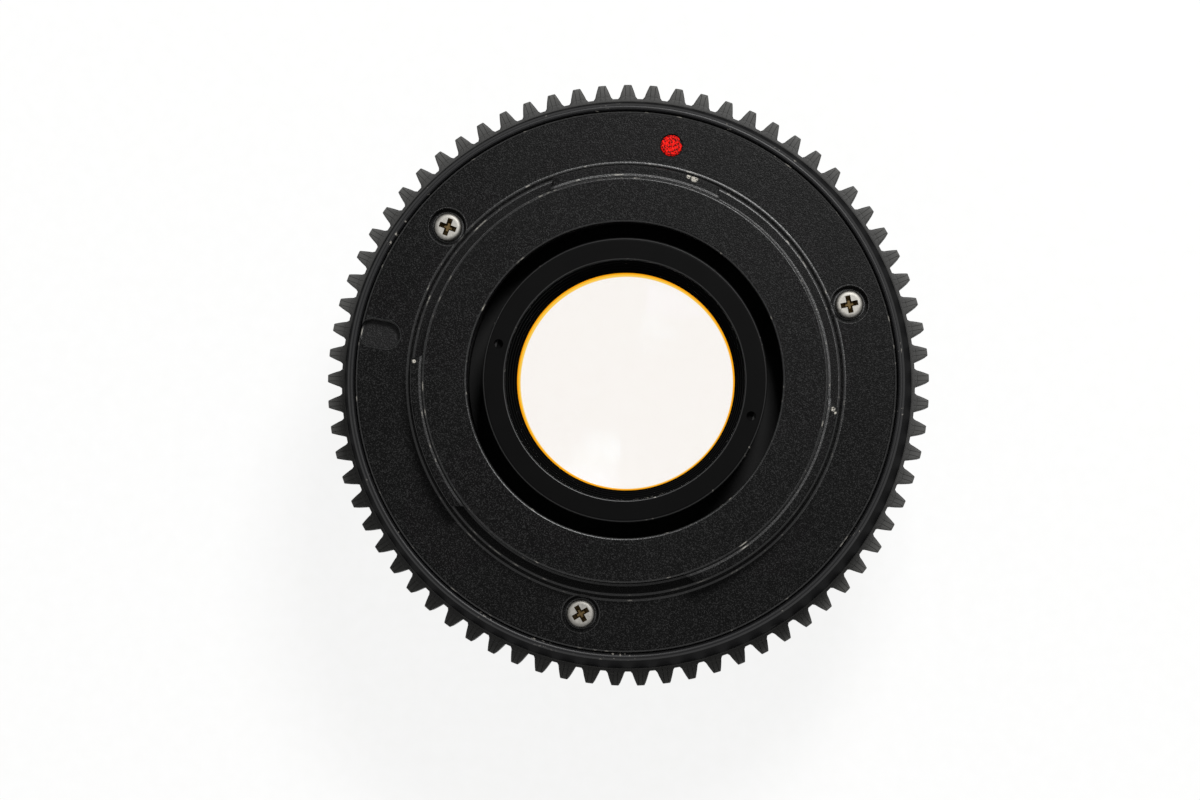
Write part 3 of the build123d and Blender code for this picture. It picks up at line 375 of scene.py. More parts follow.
def blasted_black(name, dark, grain, edges, holes, spots):
    """Blasted, hard anodised aluminium: grain of 0.1 mm with painted glints, burnished edges, rubbed
    bare in places.

    Noise is flat where a coordinate is a whole number of grains, as on the bearing face at z = 0, so
    it is read half a grain aside.
    """
    finish, tree, in_mm = new_finish(name)
    radius = from_axis(tree, in_mm)
    shifted = add(tree, "VectorMath", {0: in_mm, 1: (0.05, 0.05, 0.05)}, operation="ADD")
    fine = add(tree, "TexNoise", {"Vector": shifted, "Scale": 1 / 0.10, "Detail": 2.0})
    broad = add(tree, "TexNoise", {"Vector": in_mm, "Scale": 1 / 6.0, "Detail": 3.0})
    bits = add(tree, "TexNoise", {"Vector": in_mm, "Scale": 1 / 1.1, "Detail": 4.0})
    # Painted glints: lighter specks of the grain colour stand in for the sparkle of tiny facets, on top
    # of the grain's own tone.
    grain_and_painted_glints = add(tree, "MapRange", {0: fine, 1: 0.52, 2: 0.66})
    colour = add(tree, "Mix", {0: grain_and_painted_glints, 6: linear(dark), 7: linear(grain)}, data_type="RGBA")
    broken = add(tree, "MapRange", {0: bits, 1: 0.60, 2: 0.72, 4: 0.6})
    pits = add(tree, "MapRange", {0: fine, 1: 0.38, 2: 0.5})
    bare = bare_mask(tree, in_mm, edge_mask(tree, radius, edges, 0.05), broken, spots, pits, 4.5)
    colour = add(tree, "Mix", {0: bare, 6: colour, 7: linear("b4b0a6")}, data_type="RGBA")
    rough = add(tree, "MapRange", {0: broad, 1: 0.3, 2: 0.7, 3: 0.28, 4: 0.34})
    bump = add(tree, "Bump", {"Height": fine, "Distance": 0.00003, "Strength": 0.6})
    rims = edge_mask(tree, radius, edges, 0.11)
    for x, y, size in holes:
        gap = add(tree, "VectorMath", {0: in_mm, 1: (x, y, 0.0)}, operation="DISTANCE")
        rim = edge_mask(tree, gap, (size,), 0.06)
        rims = add(tree, "Math", {0: rim, 1: rims}, operation="MAXIMUM")
    half = slot_width / 2
    gap = slot_distance(tree, in_mm, slot_clock, slot_circle, slot_length / 2 - half)
    slot_rim = edge_mask(tree, gap, (half + 0.06,), 0.08)
    slot_floor = add(tree, "MapRange", {0: gap, 1: half, 2: half - 0.1, 4: 0.22})
    for rim in (slot_rim, slot_floor):
        rims = add(tree, "Math", {0: rim, 1: rims}, operation="MAXIMUM")
    gloss = add(tree, "MapRange", {0: rims, 3: 0.04, 4: 0.30})
    shader = add(tree, "BsdfPrincipled", {"Base Color": colour, "Roughness": rough, "Normal": bump,
                                          "Specular IOR Level": gloss})
    add(tree, "OutputMaterial", {"Surface": shader})
    return finish


def turned_black(name, dark, light, edges=(), roughness=0.3, gloss=0.012, spots=()):
    """Turned and satin anodised aluminium: rings 0.09 mm apart, and a faint unevenness of the dye.

    The skin mirrors a small fixed share of the light, also at a grazing look, and more on the edges.
    """
    finish, tree, in_mm = new_finish(name)
    radius = from_axis(tree, in_mm)
    height = add(tree, "SeparateXYZ", {0: in_mm}).outputs[2]
    tool_path = add(tree, "CombineXYZ", {0: radius, 1: height})
    rings = add(tree, "TexNoise", {"Vector": tool_path, "Scale": 1 / 0.09, "Detail": 1.0})
    broad = add(tree, "TexNoise", {"Vector": in_mm, "Scale": 1 / 4.0, "Detail": 4.0})
    fine = add(tree, "TexNoise", {"Vector": in_mm, "Scale": 1 / 0.35, "Detail": 3.0})
    colour = add(tree, "Mix", {0: broad, 6: linear(dark), 7: linear(light)}, data_type="RGBA")
    patch = add(tree, "MapRange", {0: broad, 1: 0.57, 2: 0.63})
    bits = add(tree, "MapRange", {0: fine, 1: 0.60, 2: 0.68, 4: 0.7})
    bits = add(tree, "Math", {0: bits, 1: patch}, operation="MULTIPLY")
    pits = add(tree, "MapRange", {0: fine, 1: 0.5, 2: 0.56})
    bare = bare_mask(tree, in_mm, edge_mask(tree, radius, edges, 0.12), bits, spots, pits, 5.5)
    colour = add(tree, "Mix", {0: bare, 6: colour, 7: linear("9a968e")}, data_type="RGBA")
    rough = add(tree, "MapRange", {0: fine, 3: roughness, 4: roughness + 0.10})
    bump = add(tree, "Bump", {"Height": rings, "Distance": 0.00001, "Strength": 0.35})
    matte = add(tree, "BsdfDiffuse", {"Color": colour, "Normal": bump})
    sheen = add(tree, "BsdfGlossy", {"Color": linear("ffffff"), "Roughness": rough, "Normal": bump})
    burnished = edge_mask(tree, radius, edges, 0.1)
    share = add(tree, "MapRange", {0: burnished, 3: gloss, 4: gloss + 0.025})
    both = add(tree, "MixShader", {0: share, 1: matte, 2: sheen})
    add(tree, "OutputMaterial", {"Surface": both})
    return finish


chipped_tabs = [(6.75, 19.45, 4.1, 0.4), (6.2, 19.65, 4.1, 0.25), (20.1, -2.84, 4.1, 0.25),
                (20.3, -3.2, 4.1, 0.15), (-20.37, 1.83, 4.1, 0.2)]
rubbed_rim = [(-21.4, 15.7, -0.3, 0.25), (-22.3, 14.4, -0.3, 0.3), (-23.1, 13.6, -0.3, 0.25)]
# The plate's edges: bore, spigot, its foot, tabs and collar, the collar's foot, flange.
plate_edges = (15.33, 19.52, 19.85, 20.80, 21.34, 26.33)
counterbores = [(*place, counterbore_radius + 0.06) for place in screw_places]
mount_black = blasted_black("blasted_hard_anodised_aluminium", "040404", "282828", plate_edges,
                            counterbores, chipped_tabs)
barrel_black = turned_black("turned_satin_anodised_aluminium", "0b0b0c", "171718", (26.62, 27.1),
                            spots=rubbed_rim)
ring_black = turned_black("band_satin_anodised_aluminium", "0f0f10", "1b1b1c", (), 0.34)
# Painted light: the inner black is coloured a lighter grey, so that deep gaps which the lamp hardly
# reaches do not go fully black.
cell_grey_painted_light = turned_black("cell_black_anodised_aluminium", "262626", "303030", (), 0.3, 0.003)
retainer_black = turned_black("retainer_black_anodised_aluminium", "070707", "0c0c0c",
                              (11.64, 13.7), 0.36, 0.0012)
print("black finishes", [finish.name for finish in bpy.data.materials])

# %% [markdown]
# ## The gear's finish
#
# The ring's teeth meet a follow-focus gear all day. Their end faces are a dull dark grey, painted
# darker towards the roots as shade between the teeth, and their crests are the lightest, with bits
# rubbed bare. The distance from the axis tells the shader where on a tooth a point lies.

# %% Gear finish
def toothed_black(name, root, tip):
    """Dull grey-black: the share of the way from root to tip picks the tone, painted darker as shade at
    the roots.
    """
    finish, tree, in_mm = new_finish(name)
    radius = from_axis(tree, in_mm)
    # Painted shade: the colour darkens from the crests towards the roots, where the gaps between the
    # teeth are shaded.
    up = add(tree, "MapRange", {0: radius, 1: root - 0.1, 2: tip - 0.1})
    fine = add(tree, "TexNoise", {"Vector": in_mm, "Scale": 1 / 0.25, "Detail": 4.0})
    broad = add(tree, "TexNoise", {"Vector": in_mm, "Scale": 1 / 5.0, "Detail": 2.0})
    patches = add(tree, "MapRange", {0: broad, 4: 0.5})
    colour = add(tree, "Mix", {0: up, 6: linear("30302f"), 7: linear("4c4c4a")}, data_type="RGBA")
    colour = add(tree, "Mix", {0: patches, 6: colour, 7: linear("1e1c1a")}, data_type="RGBA")
    crest = add(tree, "MapRange", {0: radius, 1: tip - 0.10, 2: tip - 0.02, 4: 0.35})
    bits = add(tree, "MapRange", {0: fine, 1: 0.5, 2: 0.62})
    bare = add(tree, "Math", {0: crest, 1: bits}, operation="MULTIPLY")
    bare = add(tree, "Math", {0: bare, 1: dust_mask(tree, in_mm, 6.0, 0.06)}, operation="MAXIMUM")
    colour = add(tree, "Mix", {0: bare, 6: colour, 7: linear("807d77")}, data_type="RGBA")
    rough = add(tree, "MapRange", {0: fine, 3: 0.40, 4: 0.55})
    bump = add(tree, "Bump", {"Height": fine, "Distance": 0.00003, "Strength": 0.3})
    shader = add(tree, "BsdfPrincipled", {"Base Color": colour, "Roughness": rough, "Normal": bump,
                                          "Specular IOR Level": 0.16})
    add(tree, "OutputMaterial", {"Surface": shader})
    return finish


gear_grey = toothed_black("cut_gear_anodised_aluminium", 28.6, 30.0)
focus_grey = toothed_black("cut_focus_gear_anodised_aluminium", 27.4, 28.8)
print("gear finishes", gear_grey.name, focus_grey.name)

# %% [markdown]
# ## Metal, paint and glass
#
# Screws are satin steel: a metal's colour is its reflection, so Metallic is 1 and the IOR is left
# alone. Paint in a pocket has a low gloss. Coated glass reflects so little that the eye sees what
# lies behind: a transparent shader with a thin Fresnel gloss keeps the straight view through the
# lens, and an amber tint is coloured in at the edge of the rear element's clear radius.

# %% Metal, paint and glass
def bare_metal(name, low, high, roughness, grain):
    """A metal with a grain in mm, brighter and darker by patches."""
    finish, tree, in_mm = new_finish(name)
    fine = add(tree, "TexNoise", {"Vector": in_mm, "Scale": 1 / grain, "Detail": 3.0})
    colour = add(tree, "Mix", {0: fine, 6: linear(low), 7: linear(high)}, data_type="RGBA")
    rough = add(tree, "MapRange", {0: fine, 3: roughness, 4: roughness + 0.2})
    bump = add(tree, "Bump", {"Height": fine, "Distance": 0.00001, "Strength": 0.4})
    shader = add(tree, "BsdfPrincipled", {"Base Color": colour, "Roughness": rough, "Normal": bump,
                                          "Metallic": 1.0})
    add(tree, "OutputMaterial", {"Surface": shader})
    return finish


def paint(name, low, high, roughness, grain, depth):
    """Enamel or engraving paint: small pits where the brush or the grain left it thin."""
    finish, tree, in_mm = new_finish(name)
    fine = add(tree, "TexNoise", {"Vector": in_mm, "Scale": 1 / grain, "Detail": 3.0})
    full = add(tree, "MapRange", {0: fine, 1: 0.42, 2: 0.56})
    colour = add(tree, "Mix", {0: full, 6: linear(low), 7: linear(high)}, data_type="RGBA")
    bump = add(tree, "Bump", {"Height": fine, "Distance": depth, "Strength": 0.6})
    shader = add(tree, "BsdfPrincipled", {"Base Color": colour, "Roughness": roughness, "Normal": bump,
                                          "Specular IOR Level": 0.1})
    add(tree, "OutputMaterial", {"Surface": shader})
    return finish


def coated_glass(name, body, gloss, rim_radius=1000.0):
    """Clear glass with a tinted Fresnel gloss, amber near a rim's radius (left out at 1000 mm)."""
    finish, tree, in_mm = new_finish(name)
    radius = from_axis(tree, in_mm)
    rim = add(tree, "MapRange", {0: radius, 1: rim_radius - 0.13, 2: rim_radius - 0.04})
    tint = add(tree, "Mix", {0: rim, 6: linear(body), 7: linear("ffd050")}, data_type="RGBA")
    film = add(tree, "TexNoise", {"Vector": in_mm, "Scale": 1 / 9.0, "Detail": 1.0})
    tone = add(tree, "Mix", {0: film, 6: linear(gloss), 7: linear("7a8cc8")}, data_type="RGBA")
    clear = add(tree, "BsdfTransparent", {"Color": tint})
    shine = add(tree, "BsdfGlossy", {"Color": tone, "Roughness": 0.05})
    angle = add(tree, "Fresnel", {"IOR": 1.06})
    both = add(tree, "MixShader", {0: angle, 1: clear, 2: shine})
    add(tree, "OutputMaterial", {"Surface": both})
    return finish


steel = bare_metal("satin_stainless_steel", "5e5c58", "86847f", 0.38, 0.2)
# Painted shade: the screws' cross recesses are coloured darker, with a golden tone, as shade in the
# hollows.
recess_steel = bare_metal("darkened_recess_steel", "2a2318", "5c4c30", 0.45, 0.12)
black_steel = bare_metal("blackened_steel", "121212", "2a2a2a", 0.4, 0.2)
blade_black = bare_metal("blackened_spring_steel", "0c0c0d", "1a1a1c", 0.38, 0.6)
brass = bare_metal("turned_brass", "9c7c3c", "c8a860", 0.32, 0.3)
shim_metal = bare_metal("rolled_brass_shim", "a88a48", "cdb070", 0.3, 0.4)
red_enamel = paint("red_index_enamel", "3a0201", "ec160c", 0.6, 0.15, 0.00008)
white_paint = paint("white_engraving_paint", "bdbcb8", "eceae4", 0.5, 0.15, 0.00001)
rear_glass = coated_glass("coated_rear_glass", "fffdfb", "c8b0d8", 10.55)
inner_glass = coated_glass("coated_inner_glass", "ffffff", "a0c8b0")
front_glass = coated_glass("coated_front_glass", "ffffff", "9ab8d8")
print("finishes in all", len(bpy.data.materials))

# %% [markdown]
# ## The mount plate
#
# One machined piece: a flange that bears on the camera, a low collar, the spigot that enters the
# camera, and three bayonet tabs that grip behind its springs. The body is a turned profile. Each tab
# is a small profile carried along an arc and united with the body. Counterbores, the index pocket
# and the lock pin's slot are then cut with flared cutters.

# %% Tabs, pockets and the slot
spigot_radius, spigot_top = 19.6, 4.5
tab_root, tab_reach, tab_under, tab_top = 19.3, 20.75, 2.5, 4.1
flange_edge, flange_under = 26.4, -2.2
dot_clock, dot_circle = 11.0, 23.45
past = 0.5  # how far a cutter reaches past the surface that it opens


def bayonet_tab(inner_start, inner_end, outer_start, outer_end, steps=24):
    """A profile carried along an arc; its ends lean in, as each radius has its own start and end."""
    loop = soften([(tab_root, tab_under), (tab_reach, tab_under, 0.08), (tab_reach, tab_top, 0.15),
                   (tab_root, tab_top)])
    loop = counter_clockwise(loop)
    middle = loop.mean(axis=0)
    share = np.concatenate([[0.0, 0.0], np.linspace(0.012, 0.988, steps), [1.0, 1.0]])
    shrink = np.concatenate([[0.0, 0.93], np.ones(steps), [0.93, 0.0]])
    profile = middle + (loop[:, None] - middle) * shrink[None, :, None]
    r, z = profile[..., 0], profile[..., 1]
    lean = (r - tab_root) / (tab_reach - tab_root)
    start = inner_start + (outer_start - inner_start) * lean
    end = inner_end + (outer_end - inner_end) * lean
    x, y = clock(r, end + (start - end) * share)
    return weave(np.stack([x, y, z], axis=-1), wrap_columns=False)


def pocket(radius, floor, top=0.0, flare=0.09, around=64):
    """A round cutter: straight from its floor, then opening at 45 degrees through the surface."""
    outline = [(0, floor), (radius, floor), (radius, top - flare), (radius + past, top - flare + past),
               (0, top - flare + past)]
    return turned(outline, around)


def slot_cutter(length, width, floor, flare=0.12, around=32):
    """A stadium: every point is a centre line's point plus the half width along its normal."""
    a = np.linspace(-np.pi / 2, 1.5 * np.pi, 2 * around, endpoint=False)
    line = np.where(np.cos(a) > 0, 1.0, -1.0) * (length - width) / 2
    grow = np.array([-width / 2, 0.0, 0.0, past, -width / 2])[:, None]
    level = np.array([floor, floor, -flare, past - flare, past - flare])[:, None]
    wide = width / 2 + grow
    spine = line * np.array([0.0, 1.0, 1.0, 1.0, 0.0])[:, None]
    points = np.stack([np.sin(a) * wide, spine + np.cos(a) * wide, level + 0 * a], axis=-1)
    return points[::-1]


def clocked(points, angle, radius):
    """Turns a shape drawn at the origin, long way along +Y, to a clock angle and a radius."""
    out, side = np.array(clock(1.0, angle)), np.array(clock(1.0, angle + 90.0))
    flat = points[..., :1] * side + (points[..., 1:2] + radius) * out
    return np.concatenate([flat, points[..., 2:]], axis=-1)


plate_outline = soften([
    (17.6, flange_under), (flange_edge, flange_under, 0.05), (flange_edge, -0.2, 0.1),
    (flange_edge - 0.2, 0.0, 0.1), (21.28, 0.0, 0.16), (20.83, 0.45, 0.16), (spigot_radius, 0.45, 0.05),
    (spigot_radius, spigot_top, 0.22), (15.25, spigot_top, 0.22), (15.25, 3.1, 0.05), (17.6, 3.1)])
plate = raw_object("bayonet_plate", [turned(plate_outline, 320)])
# Start and end of each tab, as clock angles, first at its root and then at its outer edge.
for tab in ((337.8, 388.2, 340.5, 386.1), (93.0, 163.8, 97.8, 160.5), (231.0, 277.5, 234.0, 275.7)):
    cut(plate, bayonet_tab(*tab), "UNION")
for place in screw_places:
    cut(plate, moved(pocket(counterbore_radius, floor=-1.15), *place))
cut(plate, moved(pocket(1.08, floor=-0.3, flare=0.05), *clock(dot_circle, dot_clock)))
lock_slot = clocked(slot_cutter(slot_length, slot_width, floor=-1.3), slot_clock, slot_circle)
cut(plate, weave(lock_slot, wrap_rows=False))
settle(plate, "root", mount_black, ["mount_plate"])

# %% [markdown]
# ## Screws and the index mark
#
# Three cross-recessed screws hold the plate. A head is a turned profile with a rounded rim, and the
# cross is a cutter that narrows towards its floor. The recess is coloured darker than the head, as
# painted shade in the hollow, with a golden tone, so its faces get a second finish. The index mark is
# enamel dabbed into a pocket, never quite level: a few waves, added together, give it its lumps.

# %% Screws
def cross_cutter(reach, half_width, top, depth, turn):
    """A twelve-cornered cross whose size falls from its mouth to its floor."""
    corners = np.array([(half_width, reach), (half_width, half_width), (reach, half_width)])
    quarter = np.radians(90.0 * np.arange(4))[:, None]
    x = (corners[:, 0] * np.cos(quarter) + corners[:, 1] * np.sin(quarter)).ravel()
    y = (corners[:, 1] * np.cos(quarter) - corners[:, 0] * np.sin(quarter)).ravel()
    a = np.radians(turn)
    x, y = x * np.cos(a) - y * np.sin(a), x * np.sin(a) + y * np.cos(a)
    size = np.array([0.0, 0.45, 1.0, 1.15, 0.0])[:, None]
    level = np.array([top - depth, top - depth, top, top + 0.2, top + 0.2])[:, None]
    return np.stack([x * size, y * size, level + 0 * x], axis=-1)[:, ::-1]


def pan_head(seat, radius, height, shank, tip):
    """The profile of a pan-head screw from its tip up to its crown."""
    return soften([(0, tip), (shank * 0.7, tip, 0.05), (shank, tip + 0.3, 0.05), (shank, seat),
                   (radius, seat, 0.04), (radius, seat + height * 0.8, 0.16),
                   (radius * 0.82, seat + height, 0.22), (0, seat + height)])


screw_top = -0.25
head = turned(pan_head(seat=-1.15, radius=1.4, height=0.9, shank=0.8, tip=-4.2), 72)
screws = raw_object("plate_screws", [moved(head, *place) for place in screw_places])
for place, turned_by in zip(screw_places, (12.0, 30.0, 70.0)):
    star = cross_cutter(reach=0.86, half_width=0.25, top=screw_top, depth=0.63, turn=turned_by)
    cut(screws, moved(weave(star, wrap_rows=False), *place))
settle(screws, "root", steel, ["mount_screws"])
# The second material paints the recess darker, as shade in the hollow.
screws.data.materials.append(recess_steel)
faces = screws.data.polygons
centres = np.zeros(len(faces) * 3, np.float32)
faces.foreach_get("center", centres)
px, py, pz = centres.reshape(-1, 3).T / MM
off_axis = np.min([np.hypot(px - x, py - y) for x, y in screw_places], axis=0)
in_recess = (off_axis < 0.9) & (pz < screw_top - 0.01) & (pz > -1.0)
faces.foreach_set("material_index", in_recess.astype(np.int32))
print("recess faces", int(in_recess.sum()))

# %% Index mark
a = np.linspace(0, 2 * np.pi, 96, endpoint=False)
share = np.linspace(0.0, 1.0, 26)[:, None]
edge = 1.065 - 0.012 * (1 + np.sin(3 * a + 1.0)) - 0.008 * (1 + np.sin(7 * a))
edge -= 0.16 * np.exp(-((a - 0.35) / 0.22) ** 2)
x, y = share * edge * np.cos(a), share * edge * np.sin(a)
waves = np.sin(9.5 * x + 3.0 * y) * np.sin(8.0 * y - 2.0 * x)
waves += 0.6 * np.sin(17.0 * x) * np.sin(15.0 * y + 1.0)
lumps = -0.10 + 0.035 * waves * np.clip((1 - share) * 6, 0, 1) - 0.10 * share ** 10
lumps = np.clip(lumps, -0.29, -0.05)
top = np.stack([x, y, lumps], axis=-1)
base = np.stack([x[-1:], y[-1:], -0.3 + 0 * x[-1:]], axis=-1)
floor_ring = np.stack([0 * x[-1:], 0 * y[-1:], -0.3 + 0 * x[-1:]], axis=-1)
dot = weave(np.concatenate([floor_ring, base, top[::-1]]), wrap_rows=False)
index = raw_object("index_enamel", [moved(dot, *clock(dot_circle, dot_clock))])
settle(index, "root", red_enamel, ["index_dot"], crease=80.0)

# %% [markdown]
# ## Turned rings with screw holes
#
# The rear barrel, the index sleeve and the front barrel are turned rings, each held by three grub
# screws from the side. Their holes' cutters are made upright and laid down at a clock angle.

# %% Barrels
def screwed_ring(name, outline, first_clock, z, surface_radius, finish, node):
    """A turned ring with three holes from its side, down to where the screws' outer ends stand."""
    piece = raw_object(name, [turned(outline, 320)])
    hole = pocket(0.8, floor=24.8, top=surface_radius, flare=0.07, around=40)
    for angle in (first_clock, first_clock + 120.0, first_clock + 240.0):
        cut(piece, aimed(hole, angle, z))
    settle(piece, "root", finish, [node])


barrel_bore, ring_bore = 25.32, 25.35
main_rear, skirt_front = -5.4, -9.7
rear_outline = soften([
    (21.6, main_rear), (21.6, -2.4), (26.5, -2.4), (26.5, -0.52, 0.1), (26.72, -0.3, 0.1),
    (26.98, -0.3, 0.1), (27.2, -0.52, 0.1), (28.25, skirt_front + 0.22, 0.1),
    (28.03, skirt_front, 0.1), (barrel_bore, skirt_front), (barrel_bore, main_rear)])
screwed_ring("rear_cone", rear_outline, 30.0, (main_rear + skirt_front) / 2, 27.98, barrel_black,
             "rear_barrel")

sleeve_rear, sleeve_front = -21.3, -26.1
sleeve_outline = soften([
    (barrel_bore, sleeve_front), (26.95, sleeve_front, 0.1), (27.2, sleeve_front + 0.25, 0.1),
    (27.2, sleeve_rear - 0.25, 0.1), (26.95, sleeve_rear, 0.1), (barrel_bore, sleeve_rear)])
screwed_ring("index_band", sleeve_outline, 45.0, (sleeve_rear + sleeve_front) / 2, 27.2, ring_black,
             "index_sleeve")

# %% Front barrel with its filter thread, M52 x 0.75
front_rear, main_front, front_rim = -43.4, -45.5, -54.0
thread_pitch, thread_minor, thread_major = 0.75, 25.6, 25.98
crests = front_rim + 0.45 + thread_pitch * np.arange(4)
thread = [(r, z) for crest in crests[::-1]
          for r, z in ((thread_minor, crest + 0.56), (thread_major, crest + 0.34),
                       (thread_major, crest + 0.24), (thread_minor, crest + 0.02))]
front_outline = soften([
    (25.85, front_rim, 0.1), (28.05, front_rim, 0.12), (28.3, front_rim + 0.25, 0.12),
    (28.3, -50.8, 0.2), (27.6, -49.4, 0.4), (27.6, front_rear - 0.25, 0.12),
    (27.35, front_rear, 0.12), (barrel_bore, front_rear), (barrel_bore, main_front), (23.0, main_front),
    (23.0, -49.5), (25.17, -49.5), (25.17, -50.5), *thread, (thread_minor, front_rim + 0.25, 0.1)])
screwed_ring("front_bell", front_outline, 60.0, (front_rear + main_front) / 2, 27.6, barrel_black,
             "front_barrel")

# %% Front trim ring: shallow grooves keep stray light out
groove = np.arange(22.9, 24.9, 0.25)
steps = [(r, z) for r in groove for z in (-50.5, -50.38)]
grooves = [(r + (0.10 if k % 2 else 0.0), z) for k, (r, z) in enumerate(steps)]
trim_outline = soften([(22.3, -50.1, 0.1), (22.7, -50.5, 0.1), *grooves, (25.15, -50.5),
                       (25.15, -49.5), (22.3, -49.5)])
trim = raw_object("front_baffle", [turned(trim_outline, 256)])
settle(trim, "root", cell_grey_painted_light, ["front_trim_ring"])

# %% [markdown]
# ## The geared rings
#
# A follow-focus drive turns the rings by their teeth: module 0.8, that is 0.8 mm of pitch diameter
# for each tooth, with the 20 degree involute flanks that let gears roll on each other. Such a ring
# is still a grid: its columns stand at the outline's points, and its rows are either circles or that
# outline, which shrinks a little towards the end faces to round every edge of every tooth.

# %% Teeth
def gear_outline(teeth, pitch, tip, root, foot):
    """The outline, counter-clockwise from the tooth at +Y.

    At radius r a tooth's half width, as an angle, is (pi/2 + 2 x tan p) / teeth + (tan p - p)
    - (tan s - s), with p the pressure angle, x the share of the module by which the teeth are cut
    further out, s = arccos(base / r), and base the pitch radius times cos p.
    """
    p, shift = np.radians(20.0), 0.16
    flank = np.linspace(tip - 0.06, foot, 4)
    s = np.arccos(pitch * np.cos(p) / flank)
    half = (np.pi / 2 + 2 * shift * np.tan(p)) / teeth + np.tan(p) - p - np.tan(s) + s
    radius = np.array([tip, tip, *flank, root, root])
    offset = np.array([0.0, half[0] - 0.002, *half, half[-1] + 0.006, np.pi / teeth])
    radius = np.tile(np.concatenate([radius[-2:0:-1], radius]), teeth)
    start = np.pi / 2 + 2 * np.pi / teeth * np.arange(teeth)[:, None]
    angle = (start + np.concatenate([-offset[-2:0:-1], offset])).ravel()
    return np.stack([radius * np.cos(angle), radius * np.sin(angle)], axis=-1)


def inset(outline, depth):
    """The outline moved inwards: each point goes along the sum of its two edges' normals."""
    ahead = np.roll(outline, -1, axis=0) - outline
    normal = np.stack([ahead[:, 1], -ahead[:, 0]], axis=-1)
    normal /= np.linalg.norm(normal, axis=1, keepdims=True)
    before = np.roll(normal, 1, axis=0)
    both = (normal + before) / (1 + (normal * before).sum(axis=1, keepdims=True))
    return outline - depth * both


def geared_ring(outline, rows):
    """Rows (radius, z) are circles; rows (radius, z, depth) are the inset outline, cut at a radius."""
    angle = np.arctan2(outline[:, 1], outline[:, 0])
    grid = []
    for radius, z, *depth in rows:
        if depth:
            line = inset(outline, depth[0])
            line *= np.minimum(1.0, radius / np.linalg.norm(line, axis=1, keepdims=True))
        else:
            line = radius * np.stack([np.cos(angle), np.sin(angle)], axis=-1)
        grid.append(np.column_stack([line, np.full(len(line), z)]))
    return weave(np.array(grid))


def toothed_rows(tip, front, rear):
    """The rows of a toothed band from its front end to its rear end, with both ends rounded."""
    depth = np.array([0.22, 0.10, 0.05, 0.015, 0.0])
    rise = np.array([0.0, 0.0, 0.015, 0.05, 0.10])
    front_rows = [(tip, front + up, into) for into, up in zip(depth, rise)]
    rear_rows = [(tip, rear - up, into) for into, up in zip(depth[::-1], rise[::-1])]
    return front_rows + rear_rows


def round_corner(radius, z, way):
    """Circles round a ring's outer corner of 0.3 mm, whose side runs up (1) or down (-1) from z."""
    steps = ((-0.45, 0.0), (-0.28, 0.0), (-0.14, 0.05), (-0.05, 0.14), (0.0, 0.28), (0.0, 0.45))
    return [(radius + across, z + way * along) for across, along in steps[::way]]


# %% Aperture ring
aperture_teeth = gear_outline(teeth=73, pitch=29.2, tip=30.0, root=28.6, foot=28.8)
aperture_rows = [(ring_bore, -21.1), *round_corner(27.5, -21.1, 1), (27.5, -16.1), (27.5, -15.9),
                 *toothed_rows(31.0, -15.9, -10.02), (28.88, -10.02, 0.22), (28.83, -9.97, 0.22),
                 (28.7, -9.96, 0.22), (28.36, -9.96), (28.30, -9.9), (ring_bore, -9.9)]
aperture_ring = raw_object("aperture_gear_ring", [geared_ring(aperture_teeth, aperture_rows)])
drive_hole = pocket(1.35, floor=26.6, top=27.5, flare=0.08, around=48)
cut(aperture_ring, aimed(drive_hole, 210.0, -18.5))
settle(aperture_ring, "aperture_ring", gear_grey, ["aperture_ring"])

# %% Focus ring
focus_teeth = gear_outline(teeth=70, pitch=28.0, tip=28.8, root=27.4, foot=27.6)
focus_rows = [(ring_bore, -43.2), *round_corner(26.9, -43.2, 1), (26.9, -42.4),
              *toothed_rows(29.5, -42.4, -36.4), (26.7, -36.4), (26.9, -36.35), (26.9, -36.1),
              *round_corner(26.9, -26.3, -1), (ring_bore, -26.3)]
focus_ring = raw_object("focus_gear_ring", [geared_ring(focus_teeth, focus_rows)])
settle(focus_ring, "focus_ring", focus_grey, ["focus_ring"])

# %% [markdown]
# ## The rear retaining ring
#
# It screws in behind the rear element: a cone that leads down to the glass, with two holes for a
# spanner's pins. The cone has a few fine steps that break up stray light.

# %% Rear retaining ring
cone = [(r, z) for share in np.linspace(0.0, 1.0, 6)[1:-1]
        for r, z in ((11.6 - 0.98 * share + 0.05, 4.08 - 4.88 * share + 0.12),
                     (11.6 - 0.98 * share - 0.03, 4.08 - 4.88 * share + 0.12))]
retainer_outline = soften([
    (10.62, -0.8), (12.85, -0.8), (12.85, 3.4), (13.77, 3.4), (13.77, 4.2, 0.28),
    (11.62, 4.2, 0.14), *cone])
retainer = raw_object("rear_retainer", [turned(retainer_outline, 256)])
spanner_hole = pocket(0.42, floor=3.0, top=4.2, flare=0.05, around=40)
for angle in (106.0, 286.0):
    cut(retainer, moved(spanner_hole, *clock(12.68, angle)))
settle(retainer, "optical_unit", retainer_black, ["rear_retaining_ring"])

# %% [markdown]
# ## The glass
#
# Seven elements stand in the unit, two pairs of them cemented. A surface of radius C falls away
# from its vertex by C - sqrt(C^2 - r^2). Each element is one closed profile: front surface, ground
# edge, rear surface. A pair's two faces are kept a hair apart, so that a ray can tell them apart.

# %% Lens elements
def lens_shell(front, rear, edge, front_clear, rear_clear, front_curve, rear_curve, steps=20):
    """Inside its clear radius c a face stands at z = level - sag(c) + sag(r), outside it at level."""
    def face(level, clear, curve):
        r = clear * np.sin(np.linspace(0.0, np.pi / 2, steps))
        sag = curve - np.sign(curve) * np.sqrt(curve ** 2 - r ** 2)
        return np.column_stack([r, level - sag[-1] + sag])
    front_face = face(front, front_clear, front_curve)
    rear_face = face(rear, rear_clear, rear_curve)
    bevel = 0.15
    rim = [(edge - bevel, front), (edge, front + bevel), (edge, rear - bevel), (edge - bevel, rear)]
    return turned(np.vstack([front_face, rim, rear_face[::-1]]), 160)


